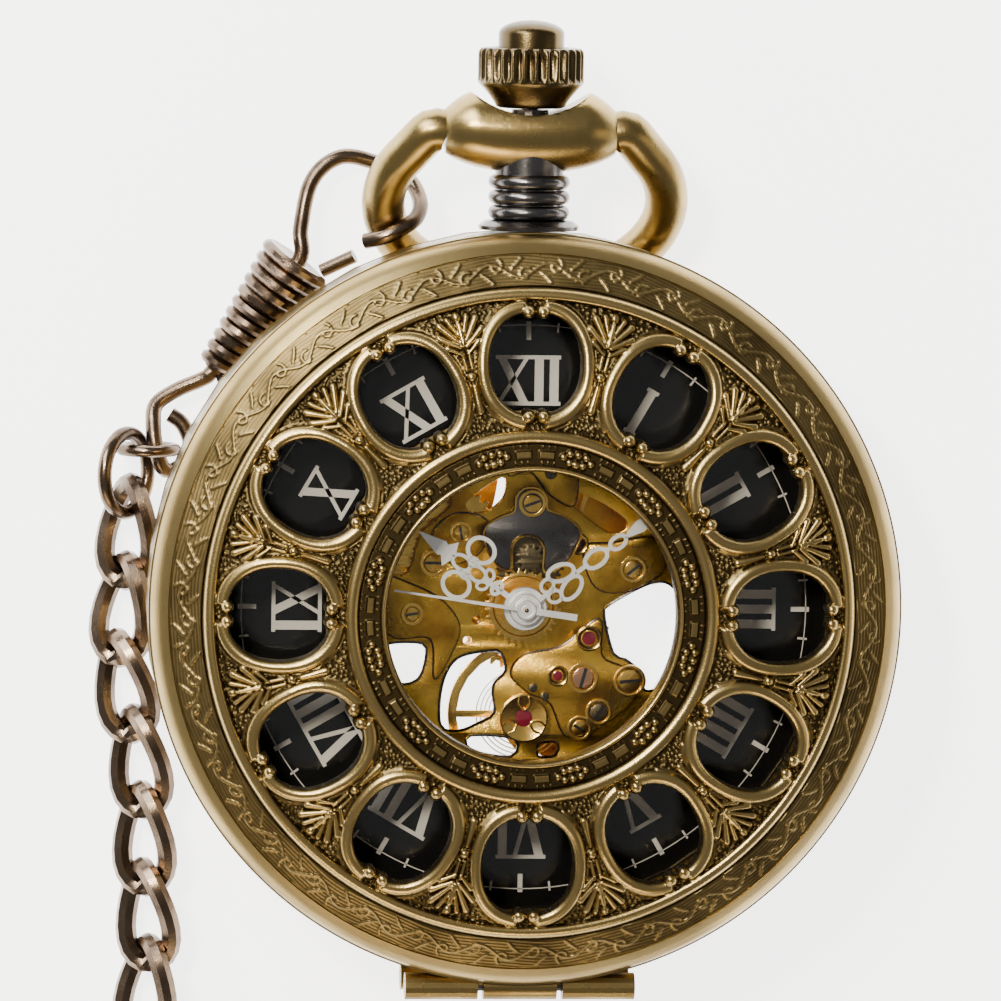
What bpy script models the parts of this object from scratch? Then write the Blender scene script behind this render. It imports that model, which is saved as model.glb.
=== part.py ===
"""Open-faced hunter pocket watch with a pierced lid, a skeleton movement, a folding bow and a curb chain.

The watch lies on its back: +Z is the dial's normal, +Y points to the crown and +X to three o'clock.
The origin is the middle of the back window, on the table. Sizes are in millimetres unless said otherwise.
"""

import math

import bmesh
import bpy
from mathutils import Matrix, Vector

MM = 0.001

# Case
CASE_RADIUS = 23.5
CASE_WALL = 2.6
BAND_LOW = 5.6
BAND_HIGH = 9.0
SHELL_GAP = 0.3
SHELL_THICKNESS = 0.8
LID_HEIGHT = 14.6
FOOT_RADIUS = 12.6
WINDOW_OPENING_RADIUS = 9.0
BACK_OPENING_RADIUS = 11.0
WINDOW_COUNT = 12
WINDOW_MIDDLE = 15.6
WINDOW_LENGTH = 6.3
WINDOW_WIDTH = 5.8

# Hinges at six o'clock
HINGE_OFFSET = 0.25
KNUCKLE_RADIUS = 0.85
KNUCKLE_CLEARANCE = 0.2
HINGE_PIN_RADIUS = 0.32
HINGE_BORE = 0.42
LID_KNUCKLE_HALF = 2.4
HINGE_HALF_WIDTH = 7.2

# Pendant, bow and crown; the crown's axis runs along Y at AXIS_HEIGHT
AXIS_HEIGHT = (BAND_LOW + BAND_HIGH) / 2
NECK_RADIUS = 2.5
NECK_LENGTH = 3.2
NECK_TUBE_RADIUS = 1.1
COLLAR_HALF_WIDTH = 5.3
COLLAR_RADIUS = 2.55
COLLAR_LENGTH = 5.1
COLLAR_BORE = 2.0
BOW_HALF_WIDTH = 8.9
BOW_HALF_LENGTH = 6.47
BOW_WIRE_RADIUS = 1.35
BOW_FOLD_DEG = 30.0
BOW_PIN_RADIUS = 0.4
CROWN_RADIUS = 3.3
CROWN_FLUTES = 22
STEM_RADIUS = 0.5
BUTTON_RADIUS = 2.05
BUTTON_TRAVEL = 0.6
PIPE_DROP = 1.15
CROWN_CONE = 1.6
CROWN_HEAD = 2.15

# Dial, crystals and movement
DIAL_INNER = 9.9
DIAL_OUTER = 20.2
DIAL_HEIGHT = 8.2
DIAL_THICKNESS = 0.35
CRYSTAL_RADIUS = 19.9
CRYSTAL_THICKNESS = 0.6
PLATE_RADIUS = 12.9
PLATE_LOW = 5.8
PLATE_THICKNESS = 0.8
FIT = 0.1
SMALL_FIT = 0.05

BRIDGE_TOP = 3.0
BRIDGE_LOW = 2.4
BALANCE_RADIUS = 4.6
JEWEL_RADIUS = 0.5
HOUR_HAND_HEIGHT = 9.0
MINUTE_HAND_HEIGHT = 9.45
SECONDS_HEIGHT = 9.85
HAND_THICKNESS = 0.15

# Wheel centres in the plan
CENTRE = (0.0, 0.0)
BARREL_AT = (-5.66, 2.55)
THIRD_AT = (3.4, 3.9)
ESCAPE_AT = (4.24, -2.06)
PALLET_AT = (2.31, -4.43)
BALANCE_AT = (0.19, -7.1)
MINUTE_WHEEL_AT = (0.44, 2.98)

# Teeth
BARREL_TEETH, CENTRE_PINION_TEETH = 50, 10
CENTRE_TEETH, THIRD_PINION_TEETH = 40, 8
THIRD_TEETH, FOURTH_PINION_TEETH = 40, 8
FOURTH_TEETH, ESCAPE_PINION_TEETH = 40, 8
ESCAPE_TEETH = 15
CANNON_TEETH, MINUTE_TEETH = 10, 30
MINUTE_PINION_TEETH, HOUR_TEETH = 8, 32

# Chain: a spring hook on the bow, two rings and a free run that ends in a coil
CHAIN_WIDTH = 5.0
HOOK_WIRE = 0.5
CHAIN_RADIUS = 2.4
CHAIN_REST = 2.45
COIL_MIDDLE = (5.5, -60.0)
COIL_START_RADIUS = 30.0
COIL_TURNS = 1.6
SLEEVE_RADII = (1.2, 2.6)


def finish(name, colour, metallic, roughness):
    """A Principled material."""
    made = bpy.data.materials.new(name)
    made.use_nodes = True
    shader = made.node_tree.nodes["Principled BSDF"]
    shader.inputs["Base Color"].default_value = (*colour, 1.0)
    shader.inputs["Metallic"].default_value = metallic
    shader.inputs["Roughness"].default_value = roughness
    return made


def link(name, mesh, material):
    """A visible object of this mesh, smooth on its round sides."""
    mesh.name = name
    mesh.materials.clear()
    mesh.materials.append(material)
    mesh.shade_smooth()
    mesh.set_sharp_from_angle(angle=math.radians(35))
    made = bpy.data.objects.new(name, mesh)
    bpy.context.collection.objects.link(made)
    return made


def close(shape, name):
    """Welds a bmesh, turns its faces outward and returns it as a mesh."""
    bmesh.ops.remove_doubles(shape, verts=shape.verts, dist=1e-7)
    bmesh.ops.recalc_face_normals(shape, faces=shape.faces)
    mesh = bpy.data.meshes.new(name)
    shape.to_mesh(mesh)
    shape.free()
    return mesh


def turned_mesh(name, outline, steps):
    """Turns a closed outline of (radius, height) about Z; an edge along the axis is left out."""
    shape = bmesh.new()
    corners = [shape.verts.new((radius * MM, 0.0, height * MM)) for radius, height in outline]
    edges = []
    for first, second in zip(corners, corners[1:] + corners[:1]):
        if first.co.x > 0 or second.co.x > 0:
            edges.append(shape.edges.new((first, second)))
    bmesh.ops.spin(shape, geom=corners + edges, axis=(0, 0, 1), cent=(0, 0, 0), angle=math.tau, steps=steps)
    return close(shape, name)


def turned(name, outline, material, steps=48):
    return link(name, turned_mesh(name, outline, steps), material)


def aim(made, direction, at):
    """Points the object's own Z axis along X or Y and places it."""
    turn = {"X": Matrix.Rotation(math.radians(90), 4, "Y"), "Y": Matrix.Rotation(math.radians(-90), 4, "X")}
    made.data.transform(turn[direction])
    made.data.transform(Matrix.Translation(Vector(at) * MM))
    return made


def outline_mesh(name, outlines, low, high):
    """A flat plate between two heights: the first outline is its edge and the others are its holes."""
    curve = bpy.data.curves.new(name, "CURVE")
    curve.dimensions = "2D"
    curve.fill_mode = "BOTH"
    curve.extrude = (high - low) / 2 * MM
    for outline in outlines:
        spline = curve.splines.new("POLY")
        spline.points.add(len(outline) - 1)
        spline.use_cyclic_u = True
        for point, (x, y) in zip(spline.points, outline):
            point.co = (x * MM, y * MM, 0.0, 1.0)
    holder = bpy.data.objects.new(name, curve)
    flat = bpy.data.meshes.new_from_object(holder)
    bpy.data.objects.remove(holder)
    bpy.data.curves.remove(curve)
    flat.transform(Matrix.Translation((0, 0, (high + low) / 2 * MM)))
    shape = bmesh.new()
    shape.from_mesh(flat)
    bpy.data.meshes.remove(flat)
    return close(shape, name)


def plate(name, outlines, low, high, material):
    return link(name, outline_mesh(name, outlines, low, high), material)


def circle(radius, at=(0.0, 0.0), points=24, start=0.0, sweep=math.tau):
    """Points round a circle, or along an arc of it when sweep is less than a turn."""
    share = points if sweep == math.tau else points - 1
    return [
        (at[0] + radius * math.cos(start + sweep * i / share),
         at[1] + radius * math.sin(start + sweep * i / share))
        for i in range(points)
    ]


def toothed(radius, teeth, depth, at=(0.0, 0.0)):
    """The outline of a small wheel: a point on each tooth and one in each gap."""
    points = []
    for i in range(2 * teeth):
        reach = radius + (0.35 if i % 2 == 0 else -0.65) * depth
        angle = math.pi * i / teeth
        points.append((at[0] + reach * math.cos(angle), at[1] + reach * math.sin(angle)))
    return points


def helper(name, mesh):
    """A hidden solid that a Boolean uses."""
    made = bpy.data.objects.new(name, mesh)
    bpy.context.collection.objects.link(made)
    made.hide_render = True
    made.display_type = "WIRE"
    return made


def boolean(target, mesh, operation):
    """Adds or cuts a helper solid."""
    tool = helper(f"{target.name}_{operation.lower()}_{len(target.modifiers)}", mesh)
    step = target.modifiers.new(tool.name, "BOOLEAN")
    step.operation = operation
    step.object = tool
    tool.parent = target


def rod_mesh(name, radius, start, end, steps=12):
    """A round rod from one point to another."""
    start, end = Vector(start), Vector(end)
    length = (end - start).length
    mesh = turned_mesh(name, [(0, 0), (radius, 0), (radius, length), (0, length)], steps)
    turn = (end - start).to_track_quat("Z", "Y").to_matrix().to_4x4()
    mesh.transform(Matrix.Translation(start * MM) @ turn)
    return mesh


def wire(name, points, radius, material, cyclic=False, resolution=2):
    """A round wire along points, as a bevelled curve with filled caps."""
    curve = bpy.data.curves.new(name, "CURVE")
    curve.dimensions = "3D"
    curve.bevel_depth = radius * MM
    curve.bevel_resolution = resolution
    curve.use_fill_caps = not cyclic
    spline = curve.splines.new("POLY")
    spline.points.add(len(points) - 1)
    spline.use_cyclic_u = cyclic
    for point, place in zip(spline.points, points):
        point.co = (*(Vector(place) * MM), 1.0)
    curve.materials.append(material)
    made = bpy.data.objects.new(name, curve)
    bpy.context.collection.objects.link(made)
    return made


def smooth_route(knots, count):
    """Evenly spaced points on a Catmull-Rom curve through the knots."""
    knots = [Vector(knot) for knot in knots]
    padded = [2 * knots[0] - knots[1]] + knots + [2 * knots[-1] - knots[-2]]
    fine = []
    for before, first, second, after in zip(padded, padded[1:], padded[2:], padded[3:]):
        for step in range(20):
            t = step / 20
            fine.append(
                0.5 * (2 * first + (second - before) * t
                       + (2 * before - 5 * first + 4 * second - after) * t ** 2
                       + (3 * first - before - 3 * second + after) * t ** 3)
            )
    fine.append(knots[-1])
    travelled = [0.0]
    for first, second in zip(fine, fine[1:]):
        travelled.append(travelled[-1] + (second - first).length)
    points = []
    index = 0
    for i in range(count):
        wanted = travelled[-1] * i / (count - 1)
        while index < len(fine) - 2 and travelled[index + 1] < wanted:
            index += 1
        share = (wanted - travelled[index]) / (travelled[index + 1] - travelled[index])
        points.append(fine[index].lerp(fine[index + 1], min(share, 1.0)))
    return points


def pivot(name, at):
    """An empty on a joint's axis."""
    made = bpy.data.objects.new(name, None)
    made.location = Vector(at) * MM
    bpy.context.collection.objects.link(made)
    return made


def hang(empty, *pieces):
    """Parents pieces to an empty without moving them."""
    for piece in pieces:
        piece.parent = empty
        piece.location = piece.location - empty.location


def hinge_half(target, height, own, others):
    """Gives a shell its hinge: knuckles of its own, room for the other shell's, and the pin's bore."""
    y = -CASE_RADIUS - HINGE_OFFSET
    for low, high in own:
        boolean(target, rod_mesh("knuckle", KNUCKLE_RADIUS, (low, y, height), (high, y, height), 16),
                "UNION")
    room = KNUCKLE_RADIUS + KNUCKLE_CLEARANCE
    trim = 0.06
    for low, high in others:
        boolean(target, rod_mesh("room", room, (low - trim, y, height), (high + trim, y, height), 16),
                "DIFFERENCE")
    reach = HINGE_HALF_WIDTH + 1
    boolean(target, rod_mesh("bore", HINGE_BORE, (-reach, y, height), (reach, y, height), 12), "DIFFERENCE")


def case_pieces(brass, dark, glass):
    """The band, both shells, their hinge pins, the crystals and the bezel."""
    outer, inner = CASE_RADIUS, CASE_RADIUS - CASE_WALL
    band = turned("case_middle", [
        (inner, BAND_LOW), (outer - 0.2, BAND_LOW), (outer, BAND_LOW + 0.3), (outer, BAND_HIGH - 0.3),
        (outer - 0.2, BAND_HIGH), (inner, BAND_HIGH),
    ], brass, 40)
    knuckle = LID_KNUCKLE_HALF
    sides = [(-HINGE_HALF_WIDTH, -knuckle - 0.2), (knuckle + 0.2, HINGE_HALF_WIDTH)]
    lid_axis, back_axis = BAND_HIGH + SHELL_GAP / 2, BAND_LOW - SHELL_GAP / 2
    for height in (lid_axis, back_axis):
        hinge_half(band, height, sides, [(-knuckle - 0.2, knuckle + 0.2)])
    boolean(band, rod_mesh("stem_hole", NECK_TUBE_RADIUS + FIT, (0, inner - 2, AXIS_HEIGHT),
                           (0, outer + 2, AXIS_HEIGHT), 14), "DIFFERENCE")

    lid = link("front_cover", lid_mesh(BAND_HIGH + SHELL_GAP), brass)
    back = turned("back_cover", back_outline(BAND_LOW - SHELL_GAP), brass, 40)
    beside = [(-HINGE_HALF_WIDTH - 0.25, -knuckle), (knuckle, HINGE_HALF_WIDTH + 0.25)]
    for shell, height in ((lid, lid_axis), (back, back_axis)):
        hinge_half(shell, height, [(-knuckle, knuckle)], beside)

    y = -CASE_RADIUS - HINGE_OFFSET
    pins = []
    for name, height in (("front_hinge_pin", lid_axis), ("back_hinge_pin", back_axis)):
        pins.append(link(name, rod_mesh(name, HINGE_PIN_RADIUS, (-HINGE_HALF_WIDTH, y, height),
                                        (HINGE_HALF_WIDTH, y, height), 10), dark))
    seat = BACK_OPENING_RADIUS - SMALL_FIT
    window = turned("back_crystal", [(0, 0), (seat, 0), (seat, SHELL_THICKNESS), (0, SHELL_THICKNESS)],
                    glass, 40)
    hang(pivot("front_cover_axis", (0, y, lid_axis)), lid)
    hang(pivot("back_cover_axis", (0, y, back_axis)), back, window)

    reach = CRYSTAL_RADIUS
    turned("front_crystal", [
        (0, 10.5), (8, 10.3), (15, 9.75), (reach - 0.4, 9.0), (reach, 9.0), (reach, 9.35), (15, 10.35),
        (8, 10.3 + CRYSTAL_THICKNESS), (0, 10.5 + CRYSTAL_THICKNESS),
    ], glass, 32)
    ledge = DIAL_HEIGHT + DIAL_THICKNESS + FIT
    turned("front_bezel", [
        (reach - 0.9, ledge), (inner - FIT, ledge), (inner - FIT, 9.5), (reach + FIT, 9.5),
        (reach + FIT, 8.9), (reach - 0.9, 8.9),
    ], brass, 36)


def lid_mesh(rim_height):
    """The pierced lid: a domed sheet with twelve round windows and an open middle, thickened inward."""
    half_angle = WINDOW_WIDTH / 2 / WINDOW_MIDDLE
    inner_window = WINDOW_MIDDLE - WINDOW_LENGTH / 2
    outer_window = WINDOW_MIDDLE + WINDOW_LENGTH / 2
    corner = 0.19 * WINDOW_LENGTH
    columns = []
    for window in range(WINDOW_COUNT):
        middle = math.tau * window / WINDOW_COUNT + math.pi / 2
        for share in (-1, -1 / 3, 1 / 3, 1):
            inset = corner if abs(share) == 1 else 0.0
            columns.append((middle + share * half_angle, inner_window + inset, outer_window - inset))
    top, edge = LID_HEIGHT, CASE_RADIUS
    shoulder = edge - 1.3
    shape = bmesh.new()
    rings = []
    for angle, start, end in columns:
        profile = [
            (WINDOW_OPENING_RADIUS, top - 0.4), (WINDOW_OPENING_RADIUS + 0.5, top),
            (start, top - 0.25 - 0.02 * (start - 9)), (end, top - 0.5 - 0.22 * (end - 12)),
            (shoulder, top - 3.2), (edge, rim_height + 1.0), (edge, rim_height),
        ]
        rings.append([shape.verts.new((r * math.cos(angle) * MM, r * math.sin(angle) * MM, z * MM))
                      for r, z in profile])
    for i, ring in enumerate(rings):
        following = rings[(i + 1) % len(rings)]
        over_window = i % 4 != 3
        for j in range(len(ring) - 1):
            if over_window and j == 2:
                continue
            shape.faces.new((ring[j], ring[j + 1], following[j + 1], following[j]))
    bmesh.ops.recalc_face_normals(shape, faces=shape.faces)
    upward = sum(face.normal.z for face in shape.faces)
    if upward < 0:
        bmesh.ops.reverse_faces(shape, faces=shape.faces)
    sheet = bpy.data.meshes.new("lid_sheet")
    shape.to_mesh(sheet)
    shape.free()
    return thickened(sheet, SHELL_THICKNESS)


def thickened(sheet, thickness):
    """The closed mesh that Solidify makes of an open sheet."""
    holder = bpy.data.objects.new("sheet_holder", sheet)
    bpy.context.collection.objects.link(holder)
    step = holder.modifiers.new("thickness", "SOLIDIFY")
    step.thickness = thickness * MM
    step.offset = -1
    step.use_even_offset = False
    bpy.context.view_layer.update()
    solid = bpy.data.meshes.new_from_object(holder.evaluated_get(bpy.context.evaluated_depsgraph_get()))
    bpy.data.objects.remove(holder)
    return solid


def back_outline(rim_height):
    """The back shell: a flat foot ring, a cone that clears the folded bow and an upright rim."""
    wall, edge = SHELL_THICKNESS, CASE_RADIUS
    under = [(BACK_OPENING_RADIUS, 0), (FOOT_RADIUS, 0), (FOOT_RADIUS + 0.7, 0.9), (18.0, 3.1),
             (edge - 0.6, 4.6), (edge, 5.0), (edge, rim_height)]
    over = [(edge - wall, rim_height), (18.0, 3.1 + wall), (FOOT_RADIUS + 0.2, 0.9 + wall),
            (FOOT_RADIUS - 0.4, wall), (BACK_OPENING_RADIUS, wall)]
    return under + over


def pendant_pieces(brass, dark):
    """The neck, the collar, the bow on its two pins, and the crown with its stem and button."""
    base = CASE_RADIUS + 0.35
    top = base + NECK_LENGTH
    collar_top = top + COLLAR_LENGTH
    bore = STEM_RADIUS + 0.2
    pipe_room = 1.25
    rings = []
    for i in range(3):
        start = base + 0.5 + i * (NECK_LENGTH - 0.5) / 3
        length = (NECK_LENGTH - 0.5) / 3
        rings += [(NECK_RADIUS - 0.35, start), (NECK_RADIUS, start + 0.25 * length),
                  (NECK_RADIUS, start + 0.75 * length)]
    inside = COLLAR_BORE - FIT
    neck = [(bore, base - 2.4), (NECK_TUBE_RADIUS, base - 2.4), (NECK_TUBE_RADIUS, base),
            (NECK_RADIUS + 0.4, base), (NECK_RADIUS + 0.2, base + 0.3)] + rings
    neck += [(NECK_RADIUS - 0.35, top - FIT), (inside, top - FIT), (inside, collar_top - 1.6),
             (pipe_room, collar_top - 1.6), (pipe_room, top + 1.2), (bore, top + 1.2)]
    aim(turned("pendant_neck", neck, dark, 16), "Y", (0, 0, AXIS_HEIGHT))

    half, radius = COLLAR_HALF_WIDTH, COLLAR_RADIUS
    barrel = [(0, -half), (1.5, -half), (2.1, -half + 0.6), (radius, -half + 2.0), (radius, half - 2.0),
              (2.1, half - 0.6), (1.5, half), (0, half)]
    middle = top + COLLAR_LENGTH / 2
    collar = aim(turned("pendant_collar", barrel, brass, 28), "X", (0, middle, AXIS_HEIGHT))
    scoop = 5.7
    scoop_y = collar_top + scoop - 1.45
    boolean(collar, rod_mesh("scoop", scoop, (0, scoop_y, 0), (0, scoop_y, 20), 32), "DIFFERENCE")
    boolean(collar, rod_mesh("bore", COLLAR_BORE, (0, top - 3, AXIS_HEIGHT), (0, 50, AXIS_HEIGHT), 20),
            "DIFFERENCE")

    # The bow's oval passes through both pins, so the pins' height on it follows from its half width.
    ratio = (half + 0.15) / BOW_HALF_WIDTH
    lift = math.sqrt(1 - ratio ** 2)
    fold = math.radians(BOW_FOLD_DEG)
    start = math.asin(lift) - 0.35
    end = half + 0.15
    knots = [(end + 0.75, middle, AXIS_HEIGHT)]
    arcs = 10
    for i in range(arcs + 1):
        angle = start - (math.pi + 2 * start) * i / arcs
        along = (math.sin(angle) - lift) * BOW_HALF_LENGTH
        knots.append((BOW_HALF_WIDTH * math.cos(angle), middle + along * math.cos(fold),
                      AXIS_HEIGHT + along * math.sin(fold)))
    knots.append((-end - 0.75, middle, AXIS_HEIGHT))
    sweep = [(end, middle, AXIS_HEIGHT), *smooth_route(knots, 24), (-end, middle, AXIS_HEIGHT)]
    bow = link("bow", rod_along(sweep, BOW_WIRE_RADIUS), brass)
    for name, side in (("bow_pin_left", -1), ("bow_pin_right", 1)):
        inner, outer = side * (half - 1.6), side * (half + 1.6)
        boolean(collar, rod_mesh("pin_hole", BOW_PIN_RADIUS + FIT, (inner - side * 0.2, middle, AXIS_HEIGHT),
                                 (side * 9, middle, AXIS_HEIGHT)), "DIFFERENCE")
        boolean(bow, rod_mesh("pin_hole", BOW_PIN_RADIUS + FIT, (side * (half - 1), middle, AXIS_HEIGHT),
                              (outer + side * 0.2, middle, AXIS_HEIGHT)), "DIFFERENCE")
        link(name, rod_mesh(name, BOW_PIN_RADIUS, (inner, middle, AXIS_HEIGHT), (outer, middle,
                                                                                 AXIS_HEIGHT)), dark)
    hang(pivot("bow_axis", (0, middle, AXIS_HEIGHT)), bow)

    pipe_top = collar_top - PIPE_DROP
    pipe = aim(turned("crown_pipe", [(bore, top + 1.5), (1.15, top + 1.5), (1.15, pipe_top), (bore,
                                                                                              pipe_top)],
                      dark, 16), "Y", (0, 0, AXIS_HEIGHT))
    foot = pipe_top + 0.1
    shoulder = foot + CROWN_CONE
    head = shoulder + CROWN_HEAD
    recess = head - 1.0
    stem_room = recess - BUTTON_TRAVEL - 1.0
    knob = link("crown_knob", fluted_mesh([
        (0, foot + 0.4), (STEM_RADIUS + FIT, foot + 0.4), (STEM_RADIUS + FIT, foot), (1.9, foot),
        (2.4, shoulder - 0.15), (CROWN_RADIUS, shoulder), (CROWN_RADIUS, head), (BUTTON_RADIUS + 0.2, head),
        (BUTTON_RADIUS + 0.2, recess), (1.1, recess), (1.1, stem_room), (0, stem_room),
    ]), brass)
    aim(knob, "Y", (0, 0, AXIS_HEIGHT))
    stem_end = foot + 0.35
    stem = link("winding_stem", rod_mesh("stem", STEM_RADIUS, (0, PLATE_RADIUS + 0.4, AXIS_HEIGHT),
                                         (0, stem_end, AXIS_HEIGHT), 10), dark)
    reach = BUTTON_RADIUS
    rest = recess + BUTTON_TRAVEL + 0.1
    button = aim(turned("crown_button", [
        (0, stem_room + BUTTON_TRAVEL + 0.2), (1.0, stem_room + BUTTON_TRAVEL + 0.2), (1.0, rest),
        (reach, rest), (reach, rest + 1.3), (reach * 0.75, rest + 1.75), (reach * 0.4, rest + 1.95),
        (0, rest + 2.0),
    ], brass, 20), "Y", (0, 0, AXIS_HEIGHT))
    hang(pivot("crown_pull_axis", (0, collar_top, AXIS_HEIGHT)), pipe, knob, stem, button)


def rod_along(points, radius, sides=8):
    """A closed round bar through points: a ring of corners square to the path at each one."""
    shape = bmesh.new()
    points = [Vector(point) for point in points]
    rings = []
    up = Vector((0, 0, 1))
    for i, point in enumerate(points):
        along = (points[min(i + 1, len(points) - 1)] - points[max(i - 1, 0)]).normalized()
        side = along.cross(up).normalized()
        rise = side.cross(along)
        rings.append([
            shape.verts.new((point + radius * (side * math.cos(math.tau * k / sides)
                                               + rise * math.sin(math.tau * k / sides))) * MM)
            for k in range(sides)
        ])
    for ring, following in zip(rings, rings[1:]):
        for k in range(sides):
            shape.faces.new((ring[k], ring[(k + 1) % sides], following[(k + 1) % sides], following[k]))
    shape.faces.new(rings[0])
    shape.faces.new(rings[-1])
    return close(shape, "bar")


def fluted_mesh(outline):
    """The crown: a turned shape whose widest wall carries the flutes."""
    mesh = turned_mesh("crown", outline, 2 * CROWN_FLUTES)
    for corner in mesh.vertices:
        reach = math.hypot(corner.co.x, corner.co.y) / MM
        turn = round(math.atan2(corner.co.y, corner.co.x) / math.pi * CROWN_FLUTES)
        if reach > CROWN_RADIUS - 0.01 and turn % 2:
            corner.co.x *= 1 - 0.3 / CROWN_RADIUS
            corner.co.y *= 1 - 0.3 / CROWN_RADIUS
    return mesh


def pitch(at, other, teeth, other_teeth):
    """The two pitch radii of wheels that mesh between these centres, with a little backlash."""
    apart = math.dist(at, other) - 2 * SMALL_FIT
    return apart * teeth / (teeth + other_teeth), apart * other_teeth / (teeth + other_teeth)


def wheel(name, at, radius, teeth, levels, arbor, pinion, material):
    """A toothed wheel on its arbor with a pinion: levels are heights, arbor is (radius, low, high)."""
    depth = 2 * radius / teeth * 1.6
    made = plate(name, [toothed(radius, teeth, depth)], *levels, material)
    thin, low, high = arbor
    boolean(made, rod_mesh("arbor", thin, (0, 0, low), (0, 0, high), 8), "UNION")
    if pinion:
        size, count, start, end = pinion
        boolean(made, outline_mesh("pinion", [toothed(size, count, 2 * size / count * 1.6)], start,
                                   end), "UNION")
    made.location = (at[0] * MM, at[1] * MM, 0)
    hang(pivot(name + "_axis", (*at, 0)), made)
    return made


def going_train(gold, steel, ruby):
    """Barrel, centre, third and fourth wheels, then the escape wheel, the fork and the balance."""
    under = PLATE_LOW
    barrel_r, centre_pinion_r = pitch(BARREL_AT, CENTRE, BARREL_TEETH, CENTRE_PINION_TEETH)
    centre_r, third_pinion_r = pitch(CENTRE, THIRD_AT, CENTRE_TEETH, THIRD_PINION_TEETH)
    third_r, fourth_pinion_r = pitch(THIRD_AT, CENTRE, THIRD_TEETH, FOURTH_PINION_TEETH)
    fourth_r, escape_pinion_r = pitch(CENTRE, ESCAPE_AT, FOURTH_TEETH, ESCAPE_PINION_TEETH)
    deck = BRIDGE_TOP + FIT
    wheel("mainspring_barrel", BARREL_AT, barrel_r, BARREL_TEETH, (under - 1.05, under - 0.35),
          (0.6, deck, under - 0.1), None, gold)
    centre = wheel("centre_wheel", CENTRE, centre_r, CENTRE_TEETH, (under - 1.45, under - 1.25),
                   (0.45, under - 1.5, under + 1.0), (centre_pinion_r, CENTRE_PINION_TEETH,
                                                      under - 1.15, under - 0.3),
                   gold)
    boolean(centre, rod_mesh("pipe", 0.3, (0, 0, 0), (0, 0, 20), 12), "DIFFERENCE")
    wheel("third_wheel", THIRD_AT, third_r, THIRD_TEETH, (under - 2.2, under - 2.0), (0.15, deck,
                                                                                      under - 0.1),
          (third_pinion_r, THIRD_PINION_TEETH, under - 1.6, under - 1.1), gold)
    wheel("fourth_wheel", CENTRE, fourth_r, FOURTH_TEETH, (under - 2.6, under - 2.4),
          (0.15, deck, SECONDS_HEIGHT - FIT), (fourth_pinion_r, FOURTH_PINION_TEETH, under - 2.3,
                                               under - 1.9), gold)
    wheel("escape_wheel", ESCAPE_AT, 1.5, ESCAPE_TEETH, (under - 1.85, under - 1.65), (0.1, deck,
                                                                                       under - 0.1),
          (escape_pinion_r, ESCAPE_PINION_TEETH, under - 2.65, under - 2.3), gold)

    toward = Vector(BALANCE_AT) - Vector(PALLET_AT)
    angle = math.atan2(toward.y, toward.x)
    arms = []
    for along, across in ((1.9, 0.12), (0.3, 0.2), (0.35, 1.15), (-0.1, 1.15), (-0.3, 0.3)):
        arms.append((along, across))
    arms += [(along, -across) for along, across in reversed(arms)]
    fork_outline = [(a * math.cos(angle) - b * math.sin(angle), a * math.sin(angle) + b * math.cos(angle))
                    for a, b in arms]
    fork = plate("pallet_fork", [fork_outline], under - 1.85, under - 1.65, steel)
    boolean(fork, rod_mesh("arbor", 0.1, (0, 0, deck), (0, 0, under - 1.7), 8), "UNION")
    fork.location = (PALLET_AT[0] * MM, PALLET_AT[1] * MM, 0)
    hang(pivot("pallet_axis", (*PALLET_AT, 0)), fork)

    rim, hub = BALANCE_RADIUS, 0.6
    holes = []
    for start in (0.0, math.pi):
        holes.append(circle(rim - 0.6, points=13, start=start + 0.2, sweep=math.pi - 0.4)
                     + circle(hub + 0.2, points=5, start=start + math.pi - 0.5, sweep=1.0 - math.pi))
    balance = plate("balance_wheel", [circle(rim, points=40), *holes], under - 1.0, under - 0.6, gold)
    boolean(balance, rod_mesh("staff", 0.12, (0, 0, deck + 0.3), (0, 0, under - 0.1), 8), "UNION")
    balance.location = (BALANCE_AT[0] * MM, BALANCE_AT[1] * MM, 0)
    turns = []
    for i in range(45):
        angle = math.tau * i / 12
        reach = 0.55 + 1.6 * i / 44
        turns.append((BALANCE_AT[0] + reach * math.cos(angle), BALANCE_AT[1] + reach * math.sin(angle),
                      under - 1.35))
    spring = wire("hairspring", turns, 0.05, steel, resolution=0)
    hang(pivot("balance_axis", (*BALANCE_AT, 0)), balance, spring)

    jewels = (("third_jewel", THIRD_AT), ("escape_jewel", ESCAPE_AT), ("pallet_jewel", PALLET_AT),
              ("balance_jewel", BALANCE_AT))
    for name, at in jewels:
        jewel = turned(name, [(0, under + 0.3), (JEWEL_RADIUS, under + 0.3), (JEWEL_RADIUS,
                                                                              under + PLATE_THICKNESS),
                              (0, under + PLATE_THICKNESS - 0.1)], ruby, 12)
        jewel.location = (at[0] * MM, at[1] * MM, 0)


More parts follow.
